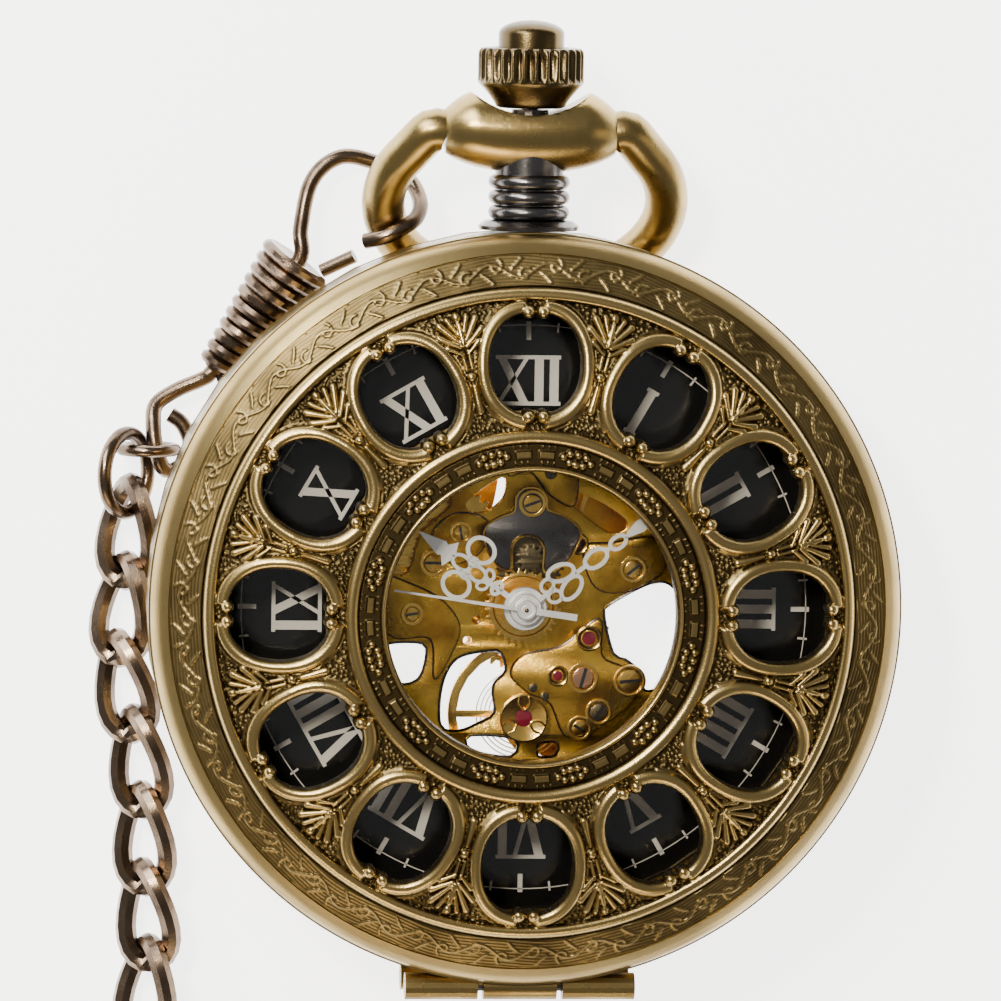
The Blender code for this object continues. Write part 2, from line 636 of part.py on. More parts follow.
def plates(gold):
    """The main plate, the ring that carries it, and the bridges behind and in front of the wheels."""
    low, high = PLATE_LOW, PLATE_LOW + PLATE_THICKNESS
    ring_inner = PLATE_RADIUS + FIT
    ring = turned("movement_ring", [
        (ring_inner, low - 0.4), (20.3, low - 0.4), (20.3, DIAL_HEIGHT - FIT), (ring_inner,
                                                                                DIAL_HEIGHT - FIT),
    ], gold, 32)
    boolean(ring, rod_mesh("stem_way", STEM_RADIUS + FIT, (0, 10, AXIS_HEIGHT), (0, 25, AXIS_HEIGHT),
                           10), "DIFFERENCE")

    # The plate is cut away where light comes through: left, lower left, right and below.
    light = [circle(1.5, (-6.6, -3.0), 12), circle(2.0, (-2.9, -5.3), 14), circle(1.9, (7.6, 0.9), 14)]
    bores = [circle(0.55, CENTRE, 12), circle(0.75, BARREL_AT, 12)]
    seats = [circle(JEWEL_RADIUS + SMALL_FIT, at, 12) for at in (THIRD_AT, ESCAPE_AT, PALLET_AT, BALANCE_AT)]
    plate("main_plate", [circle(PLATE_RADIUS, points=36), *light, *bores, *seats], low, high, gold)

    def bridge(name, outline, holes, posts):
        made = plate(name, [outline, *holes], BRIDGE_LOW, BRIDGE_TOP, gold)
        for at in posts:
            boolean(made, rod_mesh("post", 0.6, (*at, BRIDGE_LOW + 0.1), (*at, low - 0.2), 8), "UNION")

    barrel = [(-11.0, -2.6), (-5.6, -3.4), (-4.8, 0.4), (-2.6, 3.6), (-2.0, 8.8), (-6.6, 10.4), (-10.6, 6.6)]
    bridge("barrel_bridge", barrel, [circle(0.7, BARREL_AT, 12)], [(-10.4, -2.2), (-4.0, 9.2)])
    train = [(-4.2, -0.6), (-1.2, -2.2), (3.0, -3.2), (6.0, -4.4), (10.2, -3.2), (10.6, 4.6), (4.6,
                                                                                               9.8), (-1.2, 9.4),
             (-1.8, 3.4)]
    bridge("train_bridge", train, [circle(0.25, at, 8) for at in (CENTRE, THIRD_AT, ESCAPE_AT)],
           [(9.6, -2.4), (1.4, 9.0)])
    cock = [(-1.4, -5.6), (-2.2, -11.0), (2.6, -12.2), (4.6, -11.6), (4.2, -6.6), (2.8, -3.9), (1.0, -4.6)]
    bridge("balance_cock", cock, [circle(0.25, at, 8) for at in (BALANCE_AT, PALLET_AT)], [(3.8, -11.4)])


def winding_work(steel):
    """Ratchet, crown wheel and click behind the barrel bridge."""
    low, high = BRIDGE_LOW - 0.75, BRIDGE_LOW - FIT
    ratchet_teeth, crown_teeth = 30, 20
    crown_at = (-3.6, 6.9)
    ratchet_r, crown_r = pitch(BARREL_AT, crown_at, ratchet_teeth, crown_teeth)
    wheel("ratchet_wheel", BARREL_AT, ratchet_r, ratchet_teeth, (low + 0.2, high), (0.6, low,
                                                                                    BRIDGE_TOP), None, steel)
    wheel("crown_wheel", crown_at, crown_r, crown_teeth, (low + 0.2, high), (0.5, low, high), None, steel)
    click_at = (-9.5, 1.2)
    click = plate("click", [[(-0.5, -0.6), (0.5, -0.6), (0.7, 0.5), (0.95, 1.1), (0.2, 1.0), (-0.5, 0.6)]],
                  low + 0.2, high, steel)
    click.location = (click_at[0] * MM, click_at[1] * MM, 0)
    hang(pivot("click_axis", (*click_at, 0)), click)


def motion_work(steel, gold, silver):
    """Cannon pinion, minute wheel and hour wheel under their bridge, and the three hands."""
    high = PLATE_LOW + PLATE_THICKNESS
    cannon_r, minute_r = pitch(CENTRE, MINUTE_WHEEL_AT, CANNON_TEETH, MINUTE_TEETH)
    minute_pinion_r, hour_r = pitch(MINUTE_WHEEL_AT, CENTRE, MINUTE_PINION_TEETH, HOUR_TEETH)
    cannon = plate("cannon_pinion", [toothed(cannon_r, CANNON_TEETH, 0.2), circle(0.5, points=12)],
                   high + 0.25, high + 0.6, steel)
    boolean(cannon, turned_mesh("sleeve", [(0.5, high + 0.2), (0.6, high + 0.2), (0.6,
                                                                                  MINUTE_HAND_HEIGHT + 0.3),
                                           (0.25, MINUTE_HAND_HEIGHT + 0.3), (0.25, high + 1.05), (0.5,
                                                                                                   high + 0.95)],
                                12), "UNION")
    wheel("minute_wheel", MINUTE_WHEEL_AT, minute_r, MINUTE_TEETH, (high + 0.3, high + 0.5),
          (0.3, high + 0.1, high + 1.1), (minute_pinion_r, MINUTE_PINION_TEETH, high + 0.7,
                                          high + 1.1), gold)
    hour = plate("hour_wheel", [toothed(hour_r, HOUR_TEETH, 0.2), circle(0.7, points=16)],
                 high + 0.8, high + 1.0, gold)
    boolean(hour, turned_mesh("pipe", [(0.7, high + 0.75), (0.95, high + 0.75), (0.95,
                                                                                 HOUR_HAND_HEIGHT + 0.2),
                                       (0.7, HOUR_HAND_HEIGHT + 0.2)], 16), "UNION")
    outline = [(-3.3, 2.6), (-2.4, 6.6), (-0.8, 7.6), (1.8, 7.6), (3.0, 6.4), (3.9, 2.6), (2.7, 1.9)]
    outline += [(MINUTE_WHEEL_AT[0] + 1.1 * math.cos(a), MINUTE_WHEEL_AT[1] + 0.2 + 1.1 * math.sin(a))
                for a in (-0.4, 0.4, 1.2, 2.0, 2.8, 3.5)]
    outline += [(-2.2, 1.9)]
    cover = plate("minute_wheel_bridge", [outline], high + 1.2, high + 1.4, steel)
    boolean(cover, rod_mesh("post", 0.7, (0.45, 6.5, high + 0.2), (0.45, 6.5, high + 1.3), 12), "UNION")

    def hand(name, height, length, tail, width, hub, bore, degrees, holes):
        made = plate(name, [circle(hub, points=16, start=0.35, sweep=math.tau - 0.7)
                            + [(length * 0.45, -width), (length, 0.0), (length * 0.45, width)],
                            circle(bore, points=12), *holes], height, height + HAND_THICKNESS, silver)
        if tail:
            boolean(made, outline_mesh("tail", [[(-tail, -0.3), (-hub * 0.7, -0.2), (-hub * 0.7, 0.2),
                                                 (-tail, 0.3)]],
                                       height, height + HAND_THICKNESS), "UNION")
        made.data.transform(Matrix.Rotation(math.radians(90 - degrees), 4, "Z"))
        for step in made.modifiers:
            step.object.data.transform(Matrix.Rotation(math.radians(90 - degrees), 4, "Z"))
        return made

    hour_hand = hand("hour_hand", HOUR_HAND_HEIGHT, 8.2, 0, 1.6, 1.45, 1.0, 305.6, [circle(0.55, (4.0,
                                                                                                  0), 8)])
    minute_hand = hand("minute_hand", MINUTE_HAND_HEIGHT, 11.0, 0, 1.2, 1.0, 0.65, 53.3, [circle(0.5,
                                                                                                 (5.0, 0), 8)])
    seconds = hand("seconds_hand", SECONDS_HEIGHT, 8.4, 3.2, 0.12, 0.62, 0.18, 278.2, [])
    hang(pivot("minute_axis", (0, 0, high)), cannon, minute_hand)
    hang(pivot("hour_axis", (0, 0, high)), hour, hour_hand)
    hang(pivot("seconds_axis", (0, 0, high)), seconds)


def lid_catch(steel):
    """The lock spring: a curved leaf under the bezel whose nose holds the lid at twelve o'clock."""
    inner = CASE_RADIUS - CASE_WALL + FIT
    arc = circle(inner + 0.9, points=13, start=math.radians(66), sweep=math.radians(48))
    back = circle(inner + 0.35, points=13, start=math.radians(114), sweep=-math.radians(48))
    low = BAND_HIGH + SMALL_FIT
    spring = plate("lock_spring", [arc + back], low, low + 0.5, steel)
    hang(pivot("catch_axis", (0, inner, low)), spring)


def sleeve(name, low, high, material):
    """The conical coil sleeve of a spring hook, bored for the hook's shank."""
    low, high = Vector(low), Vector(high)
    narrow, wide = SLEEVE_RADII
    bore = HOOK_WIRE + FIT
    length = (high - low).length
    made = turned(name, [(bore, 0), (narrow, 0), (wide, length), (bore, length)], material, 14)
    turn = (high - low).to_track_quat("Z", "Y").to_matrix().to_4x4()
    made.data.transform(Matrix.Translation(low * MM) @ turn)
    return made


def ring(name, at, radius, thickness, across, material):
    """A jump ring; across holds its two in-plane directions."""
    first, second = Vector(across[0]).normalized(), Vector(across[1]).normalized()
    points = []
    for i in range(16):
        angle = math.tau * i / 16
        points.append(Vector(at) + radius * (first * math.cos(angle) + second * math.sin(angle)))
    return wire(name, points, thickness, material, cyclic=True, resolution=1)


def chain_pieces(bronze):
    """The spring hook on the bow, its rings, the free run of chain, the coil and the second hook."""
    low, high = (-19.2, 14.2, 1.45), (-14.0, 21.1, 2.8)
    shank = [(-19.9, 13.6, 1.5), (-19.2, 14.2, 1.45), (-16.6, 17.65, 2.12), (-14.0, 21.1, 2.8)]
    eye = [(-21.9, 11.3, 0.8), (-21.1, 10.7, 0.9), (-20.6, 9.4, 1.1), (-21.1, 8.2, 1.6), (-22.2, 7.9, 2.3),
           (-22.8, 9.2, 2.7), (-23.0, 10.8, 2.3), (-22.8, 12.0, 1.7), (-21.5, 12.9, 1.5)]
    hook = [(-13.9, 23.2, 2.6), (-13.2, 26.2, 2.2), (-11.4, 27.7, 2.0), (-9.0, 27.3, 1.9), (-7.2, 26.4, 2.4),
            (-6.5, 25.1, 3.6), (-6.8, 24.1, 4.9), (-7.7, 23.5, 5.7), (-8.9, 22.9, 5.8), (-10.0, 22.6, 5.2)]
    clasp = wire("clasp_hook", smooth_route(eye + shank + hook, 44), HOOK_WIRE, bronze, resolution=1)
    spring = sleeve("clasp_sleeve", low, high, bronze)
    hang(pivot("clasp_axis", (-8.9, 25.2, 4.7)), clasp, spring)
    gate = wire("clasp_gate", smooth_route([(-12.6, 20.6, 3.4), (-11.6, 21.1, 3.7), (-10.6, 21.6, 4.0)], 6),
                HOOK_WIRE * 0.9, bronze, resolution=1)
    hang(pivot("clasp_gate_axis", (-12.6, 20.6, 3.4)), gate)
    tilt = (0.574, 0, -0.819)
    upper = ring("jump_ring_upper", (-23.3, 9.2, 2.15), 1.7, 0.38, ((1, 0, 0), (0, 0, 1)), bronze)
    lower = ring("jump_ring_lower", (-24.7, 7.8, 3.4), 2.5, 0.45, ((0, 1, 0), tilt), bronze)

    x, y = COIL_MIDDLE
    left = x - COIL_START_RADIUS
    places = [(-24.5, 4.0), (-24.7, 0.0), (-24.9, -3.2), (-24.5, -6.4), (-23.7, -10.1), (-23.5, -12.6),
              (-23.3, -15.7), (-23.2, -18.8), (-23.0, -21.3), (-23.0, -24.1), (-23.4, -30.0), (-24.0, -38.0),
              (left, -47.0), (left, y + 0.3)]
    run = wire("chain_run", smooth_route([(*place, CHAIN_REST) for place in places], 26), CHAIN_RADIUS,
               bronze)
    outer = COIL_START_RADIUS + CHAIN_RADIUS
    inner = COIL_START_RADIUS - CHAIN_WIDTH * COIL_TURNS - CHAIN_RADIUS
    height = CHAIN_REST + CHAIN_RADIUS
    coil = turned("chain_coil", [(inner, 0.4), (inner + 0.8, 0.02), (outer - 0.8, 0.02), (outer, 0.4),
                                 (outer, height - 0.8), (outer - 0.8, height), (inner + 0.8, height),
                                 (inner, height - 0.8)], bronze, 26)
    start = -COIL_START_RADIUS
    boolean(coil, rod_mesh("run_room", CHAIN_RADIUS + 0.3, (start, 60, CHAIN_REST), (start, 0,
                                                                                     CHAIN_REST), 12),
            "DIFFERENCE")
    coil.location = (x * MM, y * MM, 0)

    turn = math.radians(205)
    start = Vector((x + 15.6, y + 9.0, 0))
    along = Vector((math.cos(turn), math.sin(turn), 0))
    across = Vector((-along.y, along.x, 0))

    def at(forward, side, up):
        return start + along * forward + across * side + Vector((0, 0, up))

    bend = [at(1.6, 0.9, 0.7), at(0.6, 1.2, 0.7), at(-0.4, 0.6, 0.7), at(-0.5, -0.6, 0.8), at(0.6,
                                                                                              -1.2, 1.0),
            at(2.4, -0.9, 1.3), at(4.2, 0, 1.45), at(8.5, 0, 2.12), at(12.8, 0, 2.8), at(16.0, 1.0, 2.4),
            at(20.0, 1.6, 1.6), at(22.4, 0.4, 1.2), at(22.2, -2.4, 1.1), at(19.6, -3.6, 1.1), at(17.4,
                                                                                                 -3.0, 1.3)]
    end_hook = wire("end_clasp_hook", smooth_route(bend, 30), HOOK_WIRE, bronze, resolution=1)
    end_sleeve = sleeve("end_clasp_sleeve", at(4.2, 0, 1.45), at(12.8, 0, 2.8), bronze)
    hang(pivot("chain_axis", (-23.0, 9.4, 2.5)), upper, lower, run, coil, end_hook, end_sleeve)


def screws(steel, copper):
    """The screws that hold the plates and the bridges, heads toward the dial."""
    top = PLATE_LOW + PLATE_THICKNESS
    for name, (x, y), radius, material in (
        ("bridge_screw", (0.45, 6.5), 0.75, steel),
        ("plate_screw_1", (6.86, -4.74), 0.85, steel),
        ("plate_screw_2", (4.93, -6.73), 0.6, steel),
        ("plate_screw_3", (3.9, -4.56), 0.7, copper),
    ):
        low = top + (1.4 if name == "bridge_screw" else 0.0) + SMALL_FIT
        made = turned(name, [(0, low), (radius, low), (radius, low + 0.2), (radius * 0.8, low + 0.3),
                             (0, low + 0.3)], material, 12)
        made.location = (x * MM, y * MM, 0)


def build():
    for leftover in list(bpy.data.objects):
        bpy.data.objects.remove(leftover)
    brass = finish("antique_brass", (0.33, 0.26, 0.14), 1.0, 0.42)
    dark = finish("blackened_bronze", (0.10, 0.09, 0.085), 1.0, 0.38)
    bronze = finish("dark_bronze", (0.17, 0.12, 0.10), 1.0, 0.36)
    glass = finish("mineral_glass", (0.9, 0.93, 0.93), 0.0, 0.03)
    gold = finish("gilt_brass", (0.85, 0.52, 0.12), 1.0, 0.28)
    steel = finish("steel", (0.28, 0.26, 0.24), 1.0, 0.3)
    silver = finish("bright_steel", (0.88, 0.86, 0.82), 1.0, 0.2)
    black = finish("black_enamel", (0.012, 0.012, 0.012), 0.0, 0.12)
    ruby = finish("ruby", (0.45, 0.02, 0.06), 0.0, 0.08)
    copper = finish("copper", (0.75, 0.36, 0.18), 1.0, 0.25)

    case_pieces(brass, dark, glass)
    lid_catch(steel)
    pendant_pieces(brass, dark)
    plates(gold)
    going_train(gold, steel, ruby)
    winding_work(steel)
    motion_work(steel, gold, silver)
    screws(steel, copper)
    plate("dial", [circle(DIAL_OUTER, points=40), circle(DIAL_INNER, points=28)],
          DIAL_HEIGHT, DIAL_HEIGHT + DIAL_THICKNESS, black)
    chain_pieces(bronze)


build()
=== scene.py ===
# %% [markdown]
# # A pierced hunter pocket watch
#
# The frame is a finished model of the watch: every solid, hinge and spring has its size and place there.
# This lesson gives that frame its looks: the chased lid, the gilt movement, the lettered dial and the curb
# chain. Many numbers below that say where something goes are read from the frame; the rest are given here,
# as a jeweller's own sizes, in millimetres.

# %% Load the frame
import math

import bmesh
import bpy
import numpy as np
from mathutils import Matrix, Vector


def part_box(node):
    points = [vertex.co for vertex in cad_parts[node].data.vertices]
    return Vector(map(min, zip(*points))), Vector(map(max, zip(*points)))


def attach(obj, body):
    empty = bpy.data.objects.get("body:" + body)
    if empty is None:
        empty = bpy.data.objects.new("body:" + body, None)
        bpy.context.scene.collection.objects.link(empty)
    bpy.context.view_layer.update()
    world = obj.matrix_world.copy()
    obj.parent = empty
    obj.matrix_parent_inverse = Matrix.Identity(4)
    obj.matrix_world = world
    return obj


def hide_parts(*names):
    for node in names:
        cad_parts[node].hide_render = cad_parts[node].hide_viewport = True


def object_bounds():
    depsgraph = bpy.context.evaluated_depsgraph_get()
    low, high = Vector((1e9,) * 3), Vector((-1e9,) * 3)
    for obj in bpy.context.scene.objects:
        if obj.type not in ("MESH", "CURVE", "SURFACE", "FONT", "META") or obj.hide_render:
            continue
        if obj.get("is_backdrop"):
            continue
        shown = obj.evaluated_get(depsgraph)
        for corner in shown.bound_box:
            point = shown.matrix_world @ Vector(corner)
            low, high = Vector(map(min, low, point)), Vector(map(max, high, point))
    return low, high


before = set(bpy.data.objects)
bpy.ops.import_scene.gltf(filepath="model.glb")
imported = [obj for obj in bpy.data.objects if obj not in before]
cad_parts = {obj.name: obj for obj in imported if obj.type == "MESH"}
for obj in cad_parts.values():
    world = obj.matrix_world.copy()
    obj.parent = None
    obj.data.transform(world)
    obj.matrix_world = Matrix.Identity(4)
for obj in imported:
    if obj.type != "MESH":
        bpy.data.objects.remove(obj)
cad_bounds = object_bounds()

MM = 0.001


def low(node):
    """The node's lowest corner in millimetres."""
    return Vector(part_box(node)[0]) / MM


def high(node):
    """The node's highest corner in millimetres."""
    return Vector(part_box(node)[1]) / MM


def middle(node):
    """The middle of the node's box in millimetres."""
    return (low(node) + high(node)) / 2


CASE_R = high("case_middle").x
LID_TOP = high("front_cover").z
AXIS_Z = middle("winding_stem").z
PLATE_TOP = high("main_plate").z
PLATE_LOW = low("main_plate").z
DIAL_TOP = high("dial").z
print("case radius", round(CASE_R, 2), "lid top", round(LID_TOP, 2), "crown axis", round(AXIS_Z, 2))

# %% [markdown]
# ## The camera
#
# A watch is looked at nearly square on, through a long lens so that the round case stays round. The
# camera leans a few degrees to the left and toward the crown, so the depth of the lid shows in its
# windows, and it is rolled by about a degree, because the watch does not lie quite straight.

# %% Place the camera
FRAME_WIDTH = 62.4
LENS = 240.0
LEAN = (-0.094, 0.094)
ROLL_DEG = 0.9
AIM = Vector((-1.55, 6.66, 8.0))

camera = bpy.data.objects.new("camera", bpy.data.cameras.new("camera"))
bpy.context.scene.collection.objects.link(camera)
bpy.context.scene.camera = camera
camera.data.sensor_width = 36.0
camera.data.lens = LENS
camera.data.clip_start = 0.01
camera.data.clip_end = 10.0
distance = FRAME_WIDTH * LENS / camera.data.sensor_width
toward_camera = Vector((*LEAN, 1.0)).normalized()
right = Vector((0, 1, 0)).cross(toward_camera).normalized()
look = Matrix((right, toward_camera.cross(right), toward_camera)).transposed().to_quaternion()
camera.rotation_mode = "QUATERNION"
camera.rotation_quaternion = look @ Matrix.Rotation(math.radians(ROLL_DEG), 3, "Z").to_quaternion()
camera.location = (AIM + toward_camera * distance) * MM
print("camera distance", round(distance, 1), "mm")

# %% [markdown]
# ## Helpers for making pieces
#
# Three ways of making metal cover nearly everything here. A lathe turns an outline round an axis, a press
# cuts a flat outline out of sheet, and a draw plate makes wire that is bent along a route. Each helper
# below is one of them, and `add` puts the finished mesh on the body that carries it.

# %% Shared helpers
made = []


def add(name, mesh, body, material, replaces=(), smooth_deg=40):
    """Shows a mesh in millimetres as a piece that rides on a body."""
    mesh.transform(Matrix.Scale(MM, 4))
    mesh.materials.clear()
    mesh.materials.append(material)
    mesh.shade_smooth()
    mesh.set_sharp_from_angle(angle=math.radians(smooth_deg))
    piece = bpy.data.objects.new(name, mesh)
    bpy.context.scene.collection.objects.link(piece)
    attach(piece, body)
    if replaces:
        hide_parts(*replaces)
    made.append(name)
    return piece


def repaint(material, *nodes):
    """Gives frame pieces that keep their own shape a finish of their own, and smooths their round sides."""
    for node in nodes:
        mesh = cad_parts[node].data
        mesh.materials.clear()
        mesh.materials.append(material)
        mesh.shade_smooth()
        mesh.set_sharp_from_angle(angle=math.radians(35))


def mesh_of(name, corners, faces):
    """A mesh from lists of corners and faces."""
    mesh = bpy.data.meshes.new(name)
    mesh.from_pydata([tuple(corner) for corner in corners], [], faces)
    mesh.validate()
    return mesh


def outward(mesh):
    """Turns a closed mesh's faces outward."""
    shape = bmesh.new()
    shape.from_mesh(mesh)
    bmesh.ops.remove_doubles(shape, verts=shape.verts, dist=1e-5)
    bmesh.ops.recalc_face_normals(shape, faces=shape.faces)
    shape.to_mesh(mesh)
    shape.free()
    return mesh


def rounded(outline, radius=0.08, steps=2):
    """Rounds the corners of a turned outline, so that edges catch the light."""
    points = []
    count = len(outline)
    for i in range(count):
        before, here, after = (Vector(outline[(i + k) % count]) for k in (-1, 0, 1))
        if here.x < 1e-6:
            points.append(tuple(here))
            continue
        start = here + (before - here).normalized() * min(radius, (before - here).length / 2.1)
        end = here + (after - here).normalized() * min(radius, (after - here).length / 2.1)
        for step in range(steps + 1):
            t = step / steps
            points.append(tuple(start * (1 - t) ** 2 + here * 2 * t * (1 - t) + end * t ** 2))
    return points


def lathe(name, outline, steps=128, reach=None):
    """Turns a closed (radius, height) outline about Z; reach(angle, radius, height) may shape the wall."""
    corners, faces = [], []
    for i in range(steps):
        angle = math.tau * i / steps
        for radius, height in outline:
            r = radius if reach is None else reach(angle, radius, height)
            corners.append((r * math.cos(angle), r * math.sin(angle), height))
    count = len(outline)
    for i in range(steps):
        for j in range(count):
            if outline[j][0] < 1e-6 and outline[(j + 1) % count][0] < 1e-6:
                continue
            a, b = i * count + j, i * count + (j + 1) % count
            c, d = (i + 1) % steps * count + (j + 1) % count, (i + 1) % steps * count + j
            faces.append((a, d, c, b))
    return outward(mesh_of(name, corners, faces))


def moved(mesh, x, y):
    """Carries a mesh made at the origin to its own place on the watch."""
    mesh.transform(Matrix.Translation((x, y, 0)))
    return mesh


def on_crown_axis(mesh):
    """Lays a turned piece along the axis of the crown, pointing away from the case."""
    mesh.transform(Matrix.Translation((0, 0, AXIS_Z)) @ Matrix.Rotation(-math.pi / 2, 4, "X"))
    return mesh


def together(mesh, *others):
    """Melts other meshes into the first."""
    shape = bmesh.new()
    for part in (mesh, *others):
        shape.from_mesh(part)
    shape.to_mesh(mesh)
    shape.free()
    for part in others:
        bpy.data.meshes.remove(part)
    return mesh


def press(name, outlines, bottom, top, bevel=0.03):
    """A flat plate with holes, cut from sheet, with softly broken edges."""
    curve = bpy.data.curves.new(name, "CURVE")
    curve.dimensions = "2D"
    curve.fill_mode = "BOTH"
    curve.extrude = (top - bottom) / 2 - bevel
    curve.bevel_depth = bevel
    curve.bevel_resolution = 1
    curve.offset = -bevel
    for outline in outlines:
        spline = curve.splines.new("POLY")
        spline.points.add(len(outline) - 1)
        spline.use_cyclic_u = True
        for point, (x, y) in zip(spline.points, outline):
            point.co = (x, y, 0.0, 1.0)
    holder = bpy.data.objects.new(name, curve)
    mesh = bpy.data.meshes.new_from_object(holder)
    bpy.data.objects.remove(holder)
    bpy.data.curves.remove(curve)
    mesh.transform(Matrix.Translation((0, 0, (bottom + top) / 2)))
    return outward(mesh)


def circle(radius, at=(0.0, 0.0), points=48, start=0.0, sweep=math.tau):
    """Points on a circle, or on the arc of it that starts at `start` and runs for `sweep`."""
    share = points if sweep == math.tau else points - 1
    turns = [start + sweep * i / share for i in range(points)]
    return [(at[0] + radius * math.cos(turn), at[1] + radius * math.sin(turn)) for turn in turns]


def smooth_route(knots, spacing=0.2, closed=False):
    """Points on a Catmull-Rom curve through the knots, about `spacing` apart."""
    knots = [Vector(knot) for knot in knots]
    if closed:
        padded = [knots[-1]] + knots + [knots[0], knots[1]]
    else:
        padded = [2 * knots[0] - knots[1]] + knots + [2 * knots[-1] - knots[-2]]
    points = []
    for before, first, second, after in zip(padded, padded[1:], padded[2:], padded[3:]):
        steps = max(2, round((second - first).length / spacing))
        for step in range(steps):
            t = step / steps
            points.append(0.5 * (2 * first + (second - before) * t
                                 + (2 * before - 5 * first + 4 * second - after) * t ** 2
                                 + (3 * first - before - 3 * second + after) * t ** 3))
    if not closed:
        points.append(knots[-1])
    return points


def bar(points, radius, sides=12, closed=False):
    """Round wire along points as (corners, faces). radius may be a function of the share of the way."""
    corners, faces = [], []
    count = len(points)
    side = None
    for i, point in enumerate(points):
        before = points[i - 1] if closed or i else point
        after = points[(i + 1) % count] if closed or i < count - 1 else point
        along = (after - before).normalized()
        if side is None:
            side = along.orthogonal().normalized()
        else:
            side = (side - along * side.dot(along)).normalized()
        rise = side.cross(along)
        r = radius(i / max(count - 1, 1)) if callable(radius) else radius
        for k in range(sides):
            angle = math.tau * k / sides
            corners.append(point + side * (r * math.cos(angle)) + rise * (r * math.sin(angle)))
    rows = count if closed else count - 1
    for i in range(rows):
        for k in range(sides):
            a, b = i * sides + k, i * sides + (k + 1) % sides
            c, d = (i + 1) % count * sides + (k + 1) % sides, (i + 1) % count * sides + k
            faces.append((a, b, c, d))
    if not closed:
        faces.append(tuple(reversed(range(sides))))
        faces.append(tuple(range((count - 1) * sides, count * sides)))
    return corners, faces


def joined(name, parts):
    """One mesh of several (corners, faces) lists."""
    corners, faces = [], []
    for part_corners, part_faces in parts:
        start = len(corners)
        corners += list(part_corners)
        faces += [tuple(start + index for index in face) for face in part_faces]
    return outward(mesh_of(name, corners, faces))


def wire(name, points, radius, sides=12, closed=False):
    """One bar as a mesh of its own."""
    return joined(name, [bar(points, radius, sides, closed)])


print("helpers ready; one unit is", MM, "m")

# %% [markdown]
# ## Metals
#
# Antique brass is dark where polish cannot reach and bright where fingers rub. A piece that carries
# relief stores how high each point stands in an attribute called `relief`, and the metal mixes its dark
# and bright colours by it. Every metal also gets cloudy patches, a roughness that wanders a little, and a
# fine bump, because no worn metal is even.


# %% A metal with patina
def add_node(tree, kind, **inputs):
    """A new shader node with some inputs set. An underscore in an input's name stands for its space."""
    node = tree.nodes.new("ShaderNode" + kind)
    for name, value in inputs.items():
        node.inputs[name.replace("_", " ")].default_value = value
    return node


def new_material(name):
    """(material, its node tree, its Principled shader)"""
    material = bpy.data.materials.new(name)
    material.use_nodes = True
    return material, material.node_tree, material.node_tree.nodes["Principled BSDF"]


def metal(name, bright, dark, rough, patch=900.0, wear=0.35, relief=False, grain=9000.0, bump=0.03,
          brushed=(1.0, 1.0, 1.0)):
    """A worn metal. brushed=(x, y, z) stretches the grain along the smallest of the three."""
    material, tree, shader = new_material(name)
    shader.inputs["Metallic"].default_value = 1.0
    position = add_node(tree, "TexCoord")
    cloud = add_node(tree, "TexNoise", Scale=patch, Detail=5.0)
    tree.links.new(position.outputs["Object"], cloud.inputs["Vector"])
    share = add_node(tree, "MapRange", From_Min=0.38, From_Max=0.66, To_Min=0.0, To_Max=wear)
    tree.links.new(cloud.outputs["Fac"], share.inputs["Value"])
    amount = share.outputs["Result"]
    if relief:
        height = add_node(tree, "Attribute")
        height.attribute_name = "relief"
        inverse = add_node(tree, "Math")
        inverse.operation = "SUBTRACT"
        inverse.inputs[0].default_value = 1.0
        tree.links.new(height.outputs["Fac"], inverse.inputs[1])
        total = add_node(tree, "Math")
        total.operation = "ADD"
        total.use_clamp = True
        tree.links.new(inverse.outputs[0], total.inputs[0])
        tree.links.new(amount, total.inputs[1])
        amount = total.outputs[0]
    mix = add_node(tree, "Mix")
    mix.data_type = "RGBA"
    mix.inputs["A"].default_value = (*bright, 1.0)
    mix.inputs["B"].default_value = (*dark, 1.0)
    tree.links.new(amount, mix.inputs["Factor"])
    tree.links.new(mix.outputs["Result"], shader.inputs["Base Color"])
    gloss = add_node(tree, "MapRange", To_Min=rough - 0.06, To_Max=rough + 0.12)
    tree.links.new(amount, gloss.inputs["Value"])
    tree.links.new(gloss.outputs["Result"], shader.inputs["Roughness"])
    stretch = add_node(tree, "Mapping", Scale=brushed)
    tree.links.new(position.outputs["Object"], stretch.inputs["Vector"])
    fine = add_node(tree, "TexNoise", Scale=grain, Detail=3.0)
    tree.links.new(stretch.outputs["Vector"], fine.inputs["Vector"])
    grain_bump = add_node(tree, "Bump", Strength=0.35, Distance=bump * MM)
    tree.links.new(fine.outputs["Fac"], grain_bump.inputs["Height"])
    tree.links.new(grain_bump.outputs["Normal"], shader.inputs["Normal"])
    return material


def plain(name, colour, rough, coat=0.0):
    """Enamel, ink or ruby: one colour with a faint unevenness in its gloss."""
    material, tree, shader = new_material(name)
    shader.inputs["Base Color"].default_value = (*colour, 1.0)
    shader.inputs["Metallic"].default_value = 0.0
    shader.inputs["IOR"].default_value = 1.5
    shader.inputs["Coat Weight"].default_value = coat
    shader.inputs["Coat Roughness"].default_value = 0.03
    position = add_node(tree, "TexCoord")
    cloud = add_node(tree, "TexNoise", Scale=3000.0)
    tree.links.new(position.outputs["Object"], cloud.inputs["Vector"])
    gloss = add_node(tree, "MapRange", To_Min=rough * 0.85, To_Max=rough * 1.15)
    tree.links.new(cloud.outputs["Fac"], gloss.inputs["Value"])
    tree.links.new(gloss.outputs["Result"], shader.inputs["Roughness"])
    return material


